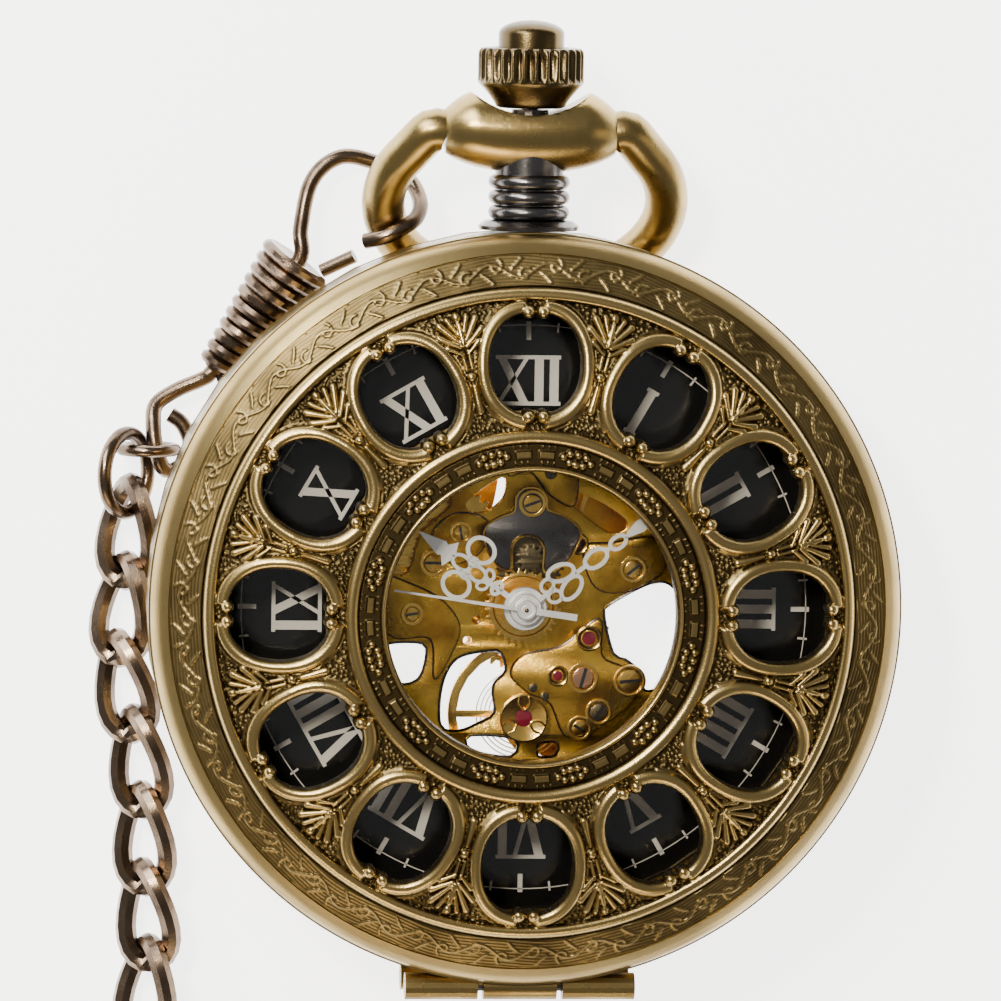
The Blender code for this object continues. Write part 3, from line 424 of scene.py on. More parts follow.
chased_brass = metal("chased_brass", (0.44, 0.315, 0.125), (0.045, 0.031, 0.013), 0.31, patch=260.0,
                     wear=0.22, relief=True)
antique_brass = metal("antique_brass", (0.42, 0.30, 0.115), (0.12, 0.082, 0.032), 0.26, patch=300.0,
                      wear=0.5, grain=3000.0, brushed=(8.0, 0.4, 8.0))
rim_brass = metal("rim_brass", (0.30, 0.215, 0.085), (0.08, 0.055, 0.022), 0.32, patch=300.0, wear=0.6)
black_bronze = metal("black_bronze", (0.16, 0.15, 0.15), (0.035, 0.032, 0.03), 0.24, wear=0.7)
link_bronze = metal("link_bronze", (0.19, 0.135, 0.095), (0.04, 0.027, 0.019), 0.26, patch=500.0, wear=0.75)
gilt = metal("gilt", (1.0, 0.62, 0.085), (0.30, 0.12, 0.008), 0.25, patch=330.0, wear=0.85,
             grain=14000.0, bump=0.05)
gilt_wheel = metal("gilt_wheel", (1.0, 0.66, 0.16), (0.50, 0.25, 0.035), 0.22, wear=0.4)
crown_brass = metal("crown_brass", (0.13, 0.092, 0.042), (0.03, 0.021, 0.01), 0.26, patch=400.0, wear=0.6)
dark_steel = metal("dark_steel", (0.17, 0.13, 0.07), (0.045, 0.033, 0.018), 0.3, patch=600.0, wear=0.6,
                   grain=20000.0, bump=0.05)
bright_steel = metal("bright_steel", (1.0, 0.99, 0.97), (0.95, 0.93, 0.88), 0.5, wear=0.3)
copper = metal("copper", (0.90, 0.50, 0.30), (0.55, 0.27, 0.15), 0.22, wear=0.4)
enamel = plain("enamel", (0.006, 0.006, 0.006), 0.14)
print_grey = plain("print_grey", (0.60, 0.56, 0.50), 0.55)
ruby = plain("ruby", (0.16, 0.003, 0.016), 0.06, coat=1.0)
print("metals", len(bpy.data.materials))

# %% [markdown]
# ## Glass
#
# The crystals are thin domes that only need to catch a soft highlight. Real refraction through a
# hand-sized piece of glass adds noise and darkens what lies under it, so the glass here is mostly
# transparent, with a glossy layer that grows toward grazing angles as Fresnel's law says.


# %% Mineral glass
def crystal_glass():
    """Clear in the middle and glossy toward its edges, with a very slight ripple."""
    material, tree, shader = new_material("mineral_glass")
    tree.nodes.remove(shader)
    clear = add_node(tree, "BsdfTransparent")
    gloss = add_node(tree, "BsdfGlossy", Roughness=0.05)
    fresnel = add_node(tree, "Fresnel", IOR=1.3)
    position = add_node(tree, "TexCoord")
    ripple = add_node(tree, "TexNoise", Scale=60.0)
    lift = add_node(tree, "Bump", Strength=0.05, Distance=0.1 * MM)
    mix = add_node(tree, "MixShader")
    tree.links.new(position.outputs["Object"], ripple.inputs["Vector"])
    tree.links.new(ripple.outputs["Fac"], lift.inputs["Height"])
    tree.links.new(lift.outputs["Normal"], gloss.inputs["Normal"])
    tree.links.new(fresnel.outputs["Fac"], mix.inputs["Fac"])
    tree.links.new(clear.outputs["BSDF"], mix.inputs[1])
    tree.links.new(gloss.outputs["BSDF"], mix.inputs[2])
    tree.links.new(mix.outputs["Shader"], tree.nodes["Material Output"].inputs["Surface"])
    return material


glass = crystal_glass()
print("materials", len(bpy.data.materials))

# %% [markdown]
# ## The pierced lid
#
# A real lid like this is struck in a die and pierced, so its whole face is one sheet whose height
# changes. That is how it is made here: a polar grid of points, one height for each, and the cells over
# the windows left out. The pattern repeats every twelfth of a turn, apart from the engraved band, which
# repeats every sixth, so the heights are worked out for one sixth and copied round. Each ornament is a
# small function that returns how far it stands up.

# %% The lid's sizes
OPENING_R = 9.0
WINDOW_MID = 15.6
WINDOW_HALF = (2.86, 3.16)
FRAME_WIDE = 0.84
BRICK_BAND = (9.4, 10.72)
INNER_MOULDING = (10.74, 11.62)
OUTER_MOULDING = (19.48, 20.26)
ENGRAVED_BAND = (20.35, 22.25)
PLAIN_RIM = 22.3
SECTORS = 12
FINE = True
COLUMNS = 130 if FINE else 60
ROW_STEP = 0.062 if FINE else 0.12
DOME = ((8.9, 13.75), (9.4, 13.9), (11.6, 13.85), (13.6, 13.7), (15.6, 13.42), (17.5, 13.03), (19.0, 12.63),
        (20.4, 12.2), (22.3, 11.36))
RIM = ((22.3, 11.36), (22.75, 11.14), (23.1, 10.85), (23.35, 10.45), (23.48, 10.0), (23.5, 9.6),
       (23.5, 9.32))
print("lid from radius", OPENING_R, "to", RIM[-1][0], "with", SECTORS, "windows")


def bump_of(distance, half_width, tall):
    """A half-round ridge: its height where the distance from its middle line is less than its half width."""
    return tall * np.sqrt(np.clip(1 - (distance / half_width) ** 2, 0, 1))


def ease(value, start, end):
    """Rises from 0 at start to 1 at end, level at both."""
    t = np.clip((value - start) / (end - start), 0, 1)
    return t * t * (3 - 2 * t)


def capsule(x, y, start, end, start_width, end_width, tall):
    """A tapered stroke with round ends, such as a leaf's lobe."""
    ax, ay = start
    bx, by = end
    length = (bx - ax) ** 2 + (by - ay) ** 2
    t = np.clip(((x - ax) * (bx - ax) + (y - ay) * (by - ay)) / max(length, 1e-9), 0, 1)
    distance = np.hypot(x - ax - t * (bx - ax), y - ay - t * (by - ay))
    return bump_of(distance, start_width + t * (end_width - start_width), tall)


def window_distance(x, y):
    """About how far a point is outside the window's edge, in millimetres; x runs round and y outward."""
    a, b = WINDOW_HALF
    power = 2.25
    scaled = (np.abs(x / a) ** power + np.abs((y - WINDOW_MID) / b) ** power) ** (1 / power)
    return (scaled - 1) * (a + b) / 2


BALLS = [(side * 0.46, WINDOW_MID + end * 3.2) for side in (-1, 1) for end in (-1, 1)]
BALL_R = 0.44


def solid_distance(x, y):
    """Positive on metal: outside the window, or on one of the four curls that reach into it."""
    found = window_distance(x, y)
    for bx, by in BALLS:
        found = np.maximum(found, BALL_R - np.hypot(x - bx, y - by))
    return found


def frame_relief(x, y):
    """The two C-scrolls round a window, and the curls at their ends."""
    d = window_distance(x, y)
    ends = ease(np.abs(x), 0.35, 0.75)
    height = bump_of(d - FRAME_WIDE / 2, FRAME_WIDE / 2, 0.42) * ends
    height = np.maximum(height, bump_of(d - FRAME_WIDE - 0.1, 0.09, 0.10))
    for bx, by in BALLS:
        height = np.maximum(height, bump_of(np.hypot(x - bx, y - by), BALL_R, 0.62))
    return height


def leaf_relief(x, y):
    """Between two windows: a bud and an acanthus leaf, fluted bars, a bead at the waist and a teardrop."""
    height = bump_of(np.hypot(x / 0.8, y - 19.05), 0.36, 0.34)
    for side in (-1, 1):
        for tip, root, wide in (((1.15, 18.75), (0.2, 17.5), 0.26), ((1.35, 18.05), (0.2, 17.2), 0.24),
                                ((1.0, 17.35), (0.15, 16.7), 0.2), ((0.62, 19.0), (0.15, 17.9), 0.2)):
            start = (side * root[0], root[1])
            end = (side * tip[0], tip[1])
            height = np.maximum(height, capsule(x, y, start, end, wide * 0.6, wide, 0.32))
        waist_bar = capsule(x, y, (side * 0.17, 15.75), (side * 0.2, 16.9), 0.12, 0.15, 0.26)
        foot_leaf = capsule(x, y, (side * 0.55, 13.3), (side * 1.1, 12.3), 0.12, 0.2, 0.2)
        height = np.maximum(height, np.maximum(waist_bar, foot_leaf))
    height = np.maximum(height, capsule(x, y, (0, 17.3), (0, 18.6), 0.16, 0.2, 0.4))
    height = np.maximum(height, bump_of(np.hypot(x, y - 15.3), 0.31, 0.36))
    return np.maximum(height, capsule(x, y, (0, 14.75), (0, 13.15), 0.16, 0.3, 0.32))


def brick_relief(along, radius):
    """Two flat bricks under each window and a cluster of beads under each leaf; along runs round."""
    middle_r = sum(BRICK_BAND) / 2
    half_repeat = math.pi * middle_r / SECTORS
    y = radius - middle_r
    height = np.zeros_like(along)
    for side in (-1, 1):
        x = np.abs(along - side * 0.72)
        edge = np.maximum(x - 0.52, np.abs(y) - 0.27)
        height = np.maximum(height, 0.17 * (1 - ease(edge, -0.09, 0.0)))
        for tick in (0.45, 0.85, 1.25):
            spike = np.maximum(np.abs(along - side * tick) - 0.035, np.abs(np.abs(y) - 0.52) - 0.1)
            height = np.maximum(height, 0.08 * (1 - ease(spike, -0.03, 0.02)))
    off = half_repeat - np.abs(along)
    for bead_x, bead_y in ((0.88, 0.0), (0.5, 0.27), (0.45, -0.27), (0.0, 0.3), (0.05, -0.31)):
        height = np.maximum(height, bump_of(np.hypot(off - bead_x, y - bead_y), 0.25, 0.24))
    return height


def pebble_relief(x, y, random, spacing=0.27):
    """A ground of small grains, each at a jittered place of its own."""
    grid_x, grid_y = np.meshgrid(np.arange(x.min(), x.max(), spacing), np.arange(y.min(), y.max(), spacing))
    seeds = np.stack([grid_x.ravel(), grid_y.ravel()], 1) + random.uniform(-0.12, 0.12, (grid_x.size, 2))
    size = random.uniform(0.08, 0.15, len(seeds))
    height = np.zeros(x.shape)
    for (sx, sy), wide in zip(seeds, size):
        near = (np.abs(x - sx) < wide) & (np.abs(y - sy) < wide)
        height[near] = np.maximum(height[near], bump_of(np.hypot(x[near] - sx, y[near] - sy), wide, 0.11))
    return height


def scroll_strokes():
    """The engraved band's vine over one sixth of a turn: strokes of (mm along the band, radius)."""
    mid = sum(ENGRAVED_BAND) / 2
    wave = 22.3 / 6
    strokes = [[(u, mid + 0.42 * math.sin(math.tau * u / wave)) for u in np.arange(-11.3, 11.4, 0.2)]]
    for bend in range(-7, 7):
        hand = 1 if bend % 2 else -1
        root = (bend + 0.5) * wave / 2
        centre = (root + 0.35, mid - hand * 0.28)
        strokes.append([(centre[0] + 0.5 * (1 - 0.8 * t) * math.cos(5.4 * t + hand),
                         centre[1] + 0.5 * (1 - 0.8 * t) * math.sin(5.4 * t + hand) * hand)
                        for t in np.linspace(0, 1, 14)])
        for lean in (0.25, 0.55, 0.85):
            strokes.append([(root - 0.5, mid + hand * 0.15),
                            (root - 0.2 + lean * 0.4, mid + hand * (0.3 + lean * 0.5))])
    return strokes


def scroll_relief(along, radius):
    """The vine, raised stroke by stroke; only the points near a stroke are worked out."""
    height = np.zeros_like(along)
    near, half_wide = 0.15, 0.085
    for line in scroll_strokes():
        for start, end in zip(line, line[1:]):
            box = ((along > min(start[0], end[0]) - near) & (along < max(start[0], end[0]) + near)
                   & (radius > min(start[1], end[1]) - near) & (radius < max(start[1], end[1]) + near))
            if box.any():
                raised = capsule(along[box], radius[box], start, end, half_wide, half_wide, 0.10)
                height[box] = np.maximum(height[box], raised)
    return height

# %% [markdown]
# ## One sixth of the lid's heights
#
# Every point of the grid is turned back into the nearest window's own directions, where `x` runs round
# and `y` runs outward, or the nearest leaf's, half a repeat further on. The ornaments then only need
# those two numbers.

# %% Work out the lid's heights
def base_height(radius):
    """The lid's smooth dome, without its ornament."""
    return np.interp(radius, [point[0] for point in DOME], [point[1] for point in DOME])


def sector_points(spacing, columns):
    """Radii and angles of one sixth of the lid, with a window at angles 0 and 30 degrees."""
    radii = np.arange(OPENING_R, PLAIN_RIM + spacing / 2, spacing)
    angles = (np.arange(2 * columns) + 0.5) / (2 * columns) * math.tau / 6 - math.pi / 12
    return np.meshgrid(radii, angles, indexing="ij")


def lid_relief(radius, angle):
    """How far the ornament stands above the lid's smooth dome, in millimetres."""
    random = np.random.default_rng(7)
    repeat = math.tau / SECTORS
    near_window = angle - np.round(angle / repeat) * repeat
    near_leaf = angle - (np.floor(angle / repeat) + 0.5) * repeat
    wx, wy = radius * np.sin(near_window), radius * np.cos(near_window)
    lx, ly = radius * np.sin(near_leaf), radius * np.cos(near_leaf)
    ornament = (radius > INNER_MOULDING[1]) & (radius < OUTER_MOULDING[0])
    height = np.where(ornament, np.maximum(leaf_relief(lx, ly), frame_relief(wx, wy)), 0.0)
    ground = ornament & (height < 0.02)
    height = np.where(ground, np.maximum(height, pebble_relief(lx, ly, random)), height)
    mouldings = (((OPENING_R, BRICK_BAND[0]), 0.34), (INNER_MOULDING, 0.4), (OUTER_MOULDING, 0.42))
    for (start, end), tall in mouldings:
        height = np.maximum(height, bump_of(radius - (start + end) / 2, (end - start) / 2, tall))
    for groove in (BRICK_BAND[1] + 0.02, OUTER_MOULDING[1] + 0.03, OUTER_MOULDING[0] - 0.05):
        height -= bump_of(radius - groove, 0.05, 0.06)
    bricks = (radius > BRICK_BAND[0]) & (radius < BRICK_BAND[1])
    middle_r = sum(BRICK_BAND) / 2
    height = np.where(bricks, np.maximum(height, brick_relief(near_window * middle_r, radius)), height)
    engraved = (radius > ENGRAVED_BAND[0]) & (radius < ENGRAVED_BAND[1])
    along = angle * sum(ENGRAVED_BAND) / 2
    along = (along + 11.15) % 22.3 - 11.15
    lines = 0.05 * (0.5 + 0.5 * np.sin(math.tau * (radius + 0.10 * np.sin(along * 0.85)) / 0.20))
    scrolls = scroll_relief(along, radius)
    height = np.where(engraved, np.where(scrolls > 0.02, scrolls, lines), height)
    step_down = 0.13 * (1 - ease(radius, ENGRAVED_BAND[1] + 0.1, PLAIN_RIM))
    return np.where(radius > ENGRAVED_BAND[1], step_down, height)


print("tallest ornament", round(float(lid_relief(*sector_points(0.2, 40)).max()), 2), "mm")

# %% [markdown]
# ## From heights to sheet metal
#
# Grid points that lie close to a window's edge are pushed onto it, so the piercing is smooth. The sixth
# is then copied round, the plain rim is added as rings, and walls drop from every open edge to give the
# lid its thickness.

# %% Strike and pierce the lid
def lid_sheet(spacing, columns, relief):
    """The face of the whole lid: corners, four-cornered faces, and the height of each corner's ornament."""
    radius, angle = sector_points(spacing, columns)
    stands = lid_relief(radius, angle) if relief else np.zeros_like(radius)
    repeat = math.tau / SECTORS
    near = angle - np.round(angle / repeat) * repeat
    x, y = radius * np.sin(near), radius * np.cos(near)
    inside = solid_distance(x, y)
    step = 0.01
    push_x = (solid_distance(x + step, y) - inside) / step
    push_y = (solid_distance(x, y + step) - inside) / step
    size = np.hypot(push_x, push_y) + 1e-9
    close = np.abs(inside) < 0.55 * spacing * size
    shift = np.where(close, -inside / size ** 2, 0.0)
    x, y = x + push_x * shift, y + push_y * shift
    metal_here = np.where(close, 0.0, inside) > -1e-9
    new_r = np.hypot(x, y)
    new_angle = np.arctan2(x, y) + (angle - near)
    turns = np.concatenate([new_angle + k * math.tau / 6 for k in range(6)], axis=1)
    radii, stands, metal_here = (np.tile(grid, (1, 6)) for grid in (new_r, stands, metal_here))
    heights = base_height(radii) + stands
    rim_r = [point[0] for point in RIM[1:]]
    rim_z = [point[1] for point in RIM[1:]]
    ring = np.tile(turns[-1], (len(rim_r), 1))
    radii = np.concatenate([radii, np.tile(np.array(rim_r)[:, None], (1, ring.shape[1]))])
    heights = np.concatenate([heights, np.tile(np.array(rim_z)[:, None], (1, ring.shape[1]))])
    stands = np.concatenate([stands, np.full(ring.shape, 0.25)])
    metal_here = np.concatenate([metal_here, np.ones(ring.shape, bool)])
    turns = np.concatenate([turns, ring])
    return radii, turns, heights, stands, metal_here


def sheet_mesh(name, sheet, first, last, floor=None):
    """A mesh of the sheet's columns first to last. With a floor, walls drop to that height at every edge."""
    columns = np.arange(first, last + 1) % sheet[0].shape[1]
    radii, turns, heights, stands, metal_here = (grid[:, columns] for grid in sheet)
    rows, wide = radii.shape
    corners = np.stack([radii * np.sin(turns), radii * np.cos(turns), heights], -1).reshape(-1, 3)
    index = np.arange(rows * wide).reshape(rows, wide)
    cell = metal_here[:-1, :-1] & metal_here[1:, :-1] & metal_here[1:, 1:] & metal_here[:-1, 1:]
    a, b, c, d = index[:-1, :-1], index[1:, :-1], index[1:, 1:], index[:-1, 1:]
    faces = np.stack([a[cell], b[cell], c[cell], d[cell]], -1)[:, ::-1]
    relief = stands.reshape(-1)
    if floor is not None:
        edges = np.concatenate([faces[:, [0, 1]], faces[:, [1, 2]], faces[:, [2, 3]], faces[:, [3, 0]]])
        keys = np.sort(edges, 1)
        code = keys[:, 0] * len(corners) + keys[:, 1]
        order, number = np.unique(code, return_counts=True)
        open_edges = edges[np.isin(code, order[number == 1])]
        on_seam = (open_edges % wide == 0).all(1) | (open_edges % wide == wide - 1).all(1)
        open_edges = open_edges[~on_seam]
        below = corners.copy()
        below[:, 2] = np.minimum(floor(radii.reshape(-1)), corners[:, 2] - 0.05)
        shift = len(corners)
        start, end = open_edges[:, 0], open_edges[:, 1]
        walls = np.stack([end, start, start + shift, end + shift], -1)
        corners = np.concatenate([corners, below])
        faces = np.concatenate([faces, walls])
        relief = np.concatenate([relief, np.zeros(shift)])
    used, faces = np.unique(faces, return_inverse=True)
    faces = faces.reshape(-1, 4)
    mesh = bpy.data.meshes.new(name)
    mesh.vertices.add(len(used))
    mesh.vertices.foreach_set("co", corners[used].astype(np.float32).ravel())
    mesh.loops.add(faces.size)
    mesh.loops.foreach_set("vertex_index", faces.astype(np.int32).ravel())
    mesh.polygons.add(len(faces))
    mesh.polygons.foreach_set("loop_start", np.arange(0, faces.size, 4, dtype=np.int32))
    mesh.update(calc_edges=True)
    where = np.hypot(corners[used, 0], corners[used, 1])
    shade = np.clip(relief[used] / 0.30, 0, 1)
    shade = np.where(where > ENGRAVED_BAND[0], 0.22 + 3.2 * relief[used], shade)
    shade = np.where(where > ENGRAVED_BAND[1], 0.8, shade)
    layer = mesh.attributes.new("relief", "FLOAT", "POINT")
    layer.data.foreach_set("value", np.clip(shade, 0, 1).astype(np.float32))
    return mesh


LID_THICK = 1.15


def underside(radius):
    """The height of the lid's lower face."""
    return base_height(radius) - LID_THICK


face = lid_sheet(ROW_STEP, COLUMNS, True)
total = face[0].shape[1]
PARTS = 6
lid_objects = []
for part in range(PARTS):
    first, last = total * part // PARTS, total * (part + 1) // PARTS
    mesh = sheet_mesh(f"lid_face_{part + 1}", face, first, last, underside)
    stood_for = ("front_cover",) if part == 0 else ()
    lid_objects.append(add(f"lid_face_{part + 1}", mesh, "front_lid", chased_brass, stood_for,
                           smooth_deg=60))
lining = lid_sheet(0.25, 26, False)
lining = (lining[0], lining[1], underside(lining[0]), lining[3] + 0.2, lining[4])
mesh = sheet_mesh("lid_lining", lining, 0, lining[0].shape[1])
mesh.flip_normals()
add("lid_lining", mesh, "front_lid", chased_brass, smooth_deg=60)
print("lid corners", sum(len(o.data.vertices) for o in lid_objects))

# %% [markdown]
# ## The chain and its spring hooks
#
# The chain is a free curb chain about a third of a metre long. Every link is the same oval of wire,
# leaning the same way, and the links are set along one path: down past the case, then round a loose coil.
# The hooks at its two ends have a cone of close wire turns for a sleeve.

# %% Curb chain
CHAIN_Z = 2.3
COIL_AT = (5.5, -60.0)
COIL_START_R, COIL_PER_TURN, COIL_TURNS, COIL_STEPS = 30.0, 5.0, 1.6, 160
LINK_PITCH, LINK_HALF, LINK_SIDE, LINK_WIRE, LINK_LEAN = 4.9, 3.1, 2.35, 0.66, math.radians(42)

run_knots = [(-24.5, 4.0), (-24.7, 0.0), (-24.9, -3.2), (-24.5, -6.4), (-23.7, -10.1), (-23.5, -12.6),
             (-23.3, -15.7), (-23.2, -18.8), (-23.0, -21.3), (-23.0, -24.1), (-23.4, -30.0), (-24.0, -38.0),
             (-24.5, -47.0), (-24.5, -54.6)]
chain_path = smooth_route([(x, y, CHAIN_Z) for x, y in run_knots], 1.0)
for step in range(COIL_STEPS + 1):
    share = step / COIL_STEPS
    angle = math.pi + math.tau * COIL_TURNS * share
    radius = COIL_START_R - COIL_PER_TURN * COIL_TURNS * share
    x, y = COIL_AT[0] + radius * math.cos(angle), COIL_AT[1] + radius * math.sin(angle)
    chain_path.append(Vector((x, y, CHAIN_Z)))


def walk(path, pitch):
    """(place, direction) every pitch along a path."""
    places, left = [], 0.0
    for start, end in zip(path, path[1:]):
        step = (end - start).length
        while left <= step:
            places.append((start.lerp(end, left / step), (end - start).normalized()))
            left += pitch
        left -= step
    return places


links = []
for at, along in walk(chain_path, LINK_PITCH):
    across = Vector((0, 0, 1)).cross(along)
    lean = across * math.cos(LINK_LEAN) + Vector((0, 0, 1)) * math.sin(LINK_LEAN)
    off = lean.cross(along)
    oval = []
    for k in range(24):
        turn = math.tau * k / 24
        oval.append(at + along * (LINK_HALF * math.cos(turn)) + lean * ((LINK_SIDE - 0.66) * math.sin(turn))
                    + off * (0.5 * math.sin(2 * turn)))
    links.append(bar(oval, LINK_WIRE, 8, closed=True))
chain = add("curb_chain", joined("curb_chain", links), "chain", link_bronze, ("chain_run", "chain_coil"))

# %% [markdown]
# A spring hook is three things: a wire that runs through the sleeve and bends round into the hook, a short
# gate that closes it, and the sleeve. The far end gets a wire and a sleeve made the same way.

# %% Spring hooks
HOOK_WIRE = 0.5


def coil_sleeve(start, end, small, large, turns=11):
    """A cone wound of close turns of wire, as a list of bars."""
    start, end = Vector(start), Vector(end)
    along = (end - start).normalized()
    across = along.orthogonal().normalized()
    rise = along.cross(across)
    gauge = (end - start).length / turns / 2
    points = []
    steps = turns * 20
    for k in range(steps + 1):
        share = k / steps
        radius = small + (large - small) * share - gauge
        angle = math.tau * turns * share
        points.append(start.lerp(end, share) + across * (radius * math.cos(angle))
                      + rise * (radius * math.sin(angle)))
    core = [start.lerp(end, share) for share in (0.0, 0.25, 0.5, 0.75, 1.0)]
    return [bar(points, gauge * 1.04, 8),
            bar(core, lambda share: small + (large - small) * share - gauge * 1.3, 20)]


def jump_ring(at, radius, gauge, first, second):
    """A round ring of wire that lies in the plane of two directions, as a bar."""
    first, second = Vector(first).normalized(), Vector(second).normalized()
    points = [Vector(at) + first * u + second * v for u, v in circle(radius, points=40)]
    return bar(points, gauge, 12, closed=True)


eye = [(-21.9, 11.3, 0.8), (-21.1, 10.7, 0.9), (-20.6, 9.4, 1.1), (-21.1, 8.2, 1.6), (-22.2, 7.9, 2.3),
       (-22.8, 9.2, 2.7), (-23.0, 10.8, 2.3), (-22.8, 12.0, 1.7), (-21.5, 12.9, 1.5)]
shank = [(-19.9, 13.6, 1.5), (-19.2, 14.2, 1.45), (-16.6, 17.65, 2.12), (-14.0, 21.1, 2.8)]
hook = [(-13.9, 23.2, 2.6), (-13.2, 26.2, 2.2), (-11.4, 27.7, 2.0), (-9.0, 27.3, 1.9), (-7.2, 26.4, 2.4),
        (-6.5, 25.1, 3.6), (-6.8, 24.1, 4.9), (-7.7, 23.5, 5.7), (-8.9, 22.9, 5.8), (-10.0, 22.6, 5.2)]
clasp_wire = add("clasp_wire", wire("clasp_wire", smooth_route(eye + shank + hook, 0.3), HOOK_WIRE), "clasp",
                 link_bronze, ("clasp_hook",))
clasp_cone = coil_sleeve((-19.2, 14.2, 1.45), (-14.0, 21.1, 2.8), 1.2, 2.6)
clasp_coil = add("clasp_coil", joined("clasp_coil", clasp_cone), "clasp", link_bronze, ("clasp_sleeve",))
gate_route = smooth_route([(-12.6, 20.6, 3.4), (-11.6, 21.1, 3.7), (-10.6, 21.6, 4.0)], 0.2)
gate = add("gate_wire", wire("gate_wire", gate_route, HOOK_WIRE * 0.9), "clasp_gate_body", link_bronze,
           ("clasp_gate",))
rings = add("chain_rings", joined("chain_rings", [
    jump_ring((-23.3, 9.2, 2.15), 1.7, 0.38, (1, 0, 0), (0, 0, 1)),
    jump_ring((-24.7, 7.8, 3.4), 2.5, 0.45, (0, 1, 0), (0.574, 0, -0.819)),
]), "chain", link_bronze, ("jump_ring_upper", "jump_ring_lower"))

end_start = Vector((COIL_AT[0] + 15.6, COIL_AT[1] + 9.0, 0))
end_along = Vector((math.cos(math.radians(205)), math.sin(math.radians(205)), 0))
end_across = Vector((-end_along.y, end_along.x, 0))


def end_at(forward, side, up):
    """A place on the far hook, measured along it, across it and up from the table."""
    return end_start + end_along * forward + end_across * side + Vector((0, 0, up))


bend = [end_at(*knot) for knot in (
    (1.6, 0.9, 0.7), (0.6, 1.2, 0.7), (-0.4, 0.6, 0.7), (-0.5, -0.6, 0.8), (0.6, -1.2, 1.0),
    (2.4, -0.9, 1.3), (4.2, 0, 1.45), (8.5, 0, 2.12), (12.8, 0, 2.8), (16.0, 1.0, 2.4),
    (20.0, 1.6, 1.6), (22.4, 0.4, 1.2), (22.2, -2.4, 1.1), (19.6, -3.6, 1.1), (17.4, -3.0, 1.3))]
end_wire = add("end_wire", wire("end_wire", smooth_route(bend, 0.3), HOOK_WIRE), "chain", link_bronze,
               ("end_clasp_hook",))
end_cone = coil_sleeve(end_at(4.2, 0, 1.45), end_at(12.8, 0, 2.8), 1.2, 2.6)
end_coil = add("end_coil", joined("end_coil", end_cone), "chain", link_bronze, ("end_clasp_sleeve",))

# %% [markdown]
# ## The pendant
#
# Neck, collar, bow and crown are all turned work. The collar is a short barrel lying across the watch
# with a saddle milled out for the crown; the saddle is a cylinder cut, so each point of the barrel is
# held below that cylinder.

# %% Pendant, bow and crown
COLLAR_LOW, COLLAR_HIGH, COLLAR_HALF, COLLAR_R = 27.05, 32.15, 5.3, 2.55
SADDLE_R, SADDLE_DEEP = 5.7, 1.45
NECK_FOOT = 23.55
BOW_R, BOW_HALF_WIDE, BOW_HALF_LONG, BOW_FOLD = 1.35, 8.9, 6.47, math.radians(30)
PIN_Y = (COLLAR_LOW + COLLAR_HIGH) / 2

neck_outline = [(1.0, NECK_FOOT), (3.1, NECK_FOOT), (3.15, NECK_FOOT + 0.25), (2.75, NECK_FOOT + 0.55)]
for ring in range(3):
    start = NECK_FOOT + 0.6 + ring * 0.95
    for k in range(9):
        turn = math.pi * k / 8
        neck_outline.append((2.12 + 0.42 * math.sin(turn), start + 0.475 - 0.45 * math.cos(turn)))
neck_outline += [(2.1, COLLAR_LOW + 1.2), (1.0, COLLAR_LOW + 1.2)]
add("neck", on_crown_axis(lathe("neck", neck_outline, 64)), "case", black_bronze, ("pendant_neck",))


def collar_mesh():
    """The barrel with its saddle: rows of points along it, each held below the saddle's cylinder."""
    corners, faces = [], []
    columns, around = 96, 64
    for i in range(columns + 1):
        x = COLLAR_HALF * (2 * i / columns - 1)
        under = COLLAR_R * math.sqrt(1 - (abs(x) / 6.15) ** 2.2)
        over = COLLAR_R - 1.15 * max(0.0, (abs(x) - 3.3) / 2.0) ** 1.8
        inside = SADDLE_R ** 2 - x * x
        ceiling = COLLAR_HIGH - PIN_Y + SADDLE_R - SADDLE_DEEP - math.sqrt(max(inside, 0.0))
        for k in range(around):
            turn = math.tau * k / around
            radius = under + (over - under) * (0.5 + 0.5 * math.cos(turn))
            y = min(radius * math.cos(turn), ceiling)
            corners.append((x, PIN_Y + y, AXIS_Z + radius * math.sin(turn)))
    for i in range(columns):
        for k in range(around):
            a, b = i * around + k, i * around + (k + 1) % around
            faces.append((a, b, b + around, a + around))
    faces.append(tuple(range(around))[::-1])
    faces.append(tuple(range(columns * around, (columns + 1) * around)))
    return outward(mesh_of("collar", corners, faces))


add("collar", collar_mesh(), "case", antique_brass, ("pendant_collar",), smooth_deg=32)

ratio = (COLLAR_HALF + 0.15) / BOW_HALF_WIDE
lift = math.sqrt(1 - ratio ** 2)
bow_knots = [(COLLAR_HALF + 0.15, PIN_Y, AXIS_Z), (COLLAR_HALF + 0.9, PIN_Y, AXIS_Z)]
bow_start = math.asin(lift) - 0.35
for k in range(41):
    turn = bow_start - (math.pi + 2 * bow_start) * k / 40
    along = (math.sin(turn) - lift) * BOW_HALF_LONG
    bow_knots.append((BOW_HALF_WIDE * math.cos(turn), PIN_Y + along * math.cos(BOW_FOLD),
                      AXIS_Z + along * math.sin(BOW_FOLD)))
bow_knots += [(-x, y, z) for x, y, z in bow_knots[1::-1]]
add("bow_ring", wire("bow_ring", smooth_route(bow_knots, 0.35), BOW_R, 28), "bow_body", antique_brass,
    ("bow",))
print("neck, collar and bow made; bow points", len(bow_knots))

# %% [markdown]
# The crown is a cone with a fluted grip above it, bored for the button that springs the lid open. The
# bore is deep enough for the button's whole travel.

# %% Crown, button and pins
crown_low, crown_high = low("crown_knob").y, high("crown_knob").y
CONE = 1.6
FLUTES = 28
BORE_DEEP = 1.35
BUTTON_R, BUTTON_DOME = 2.05, 0.85


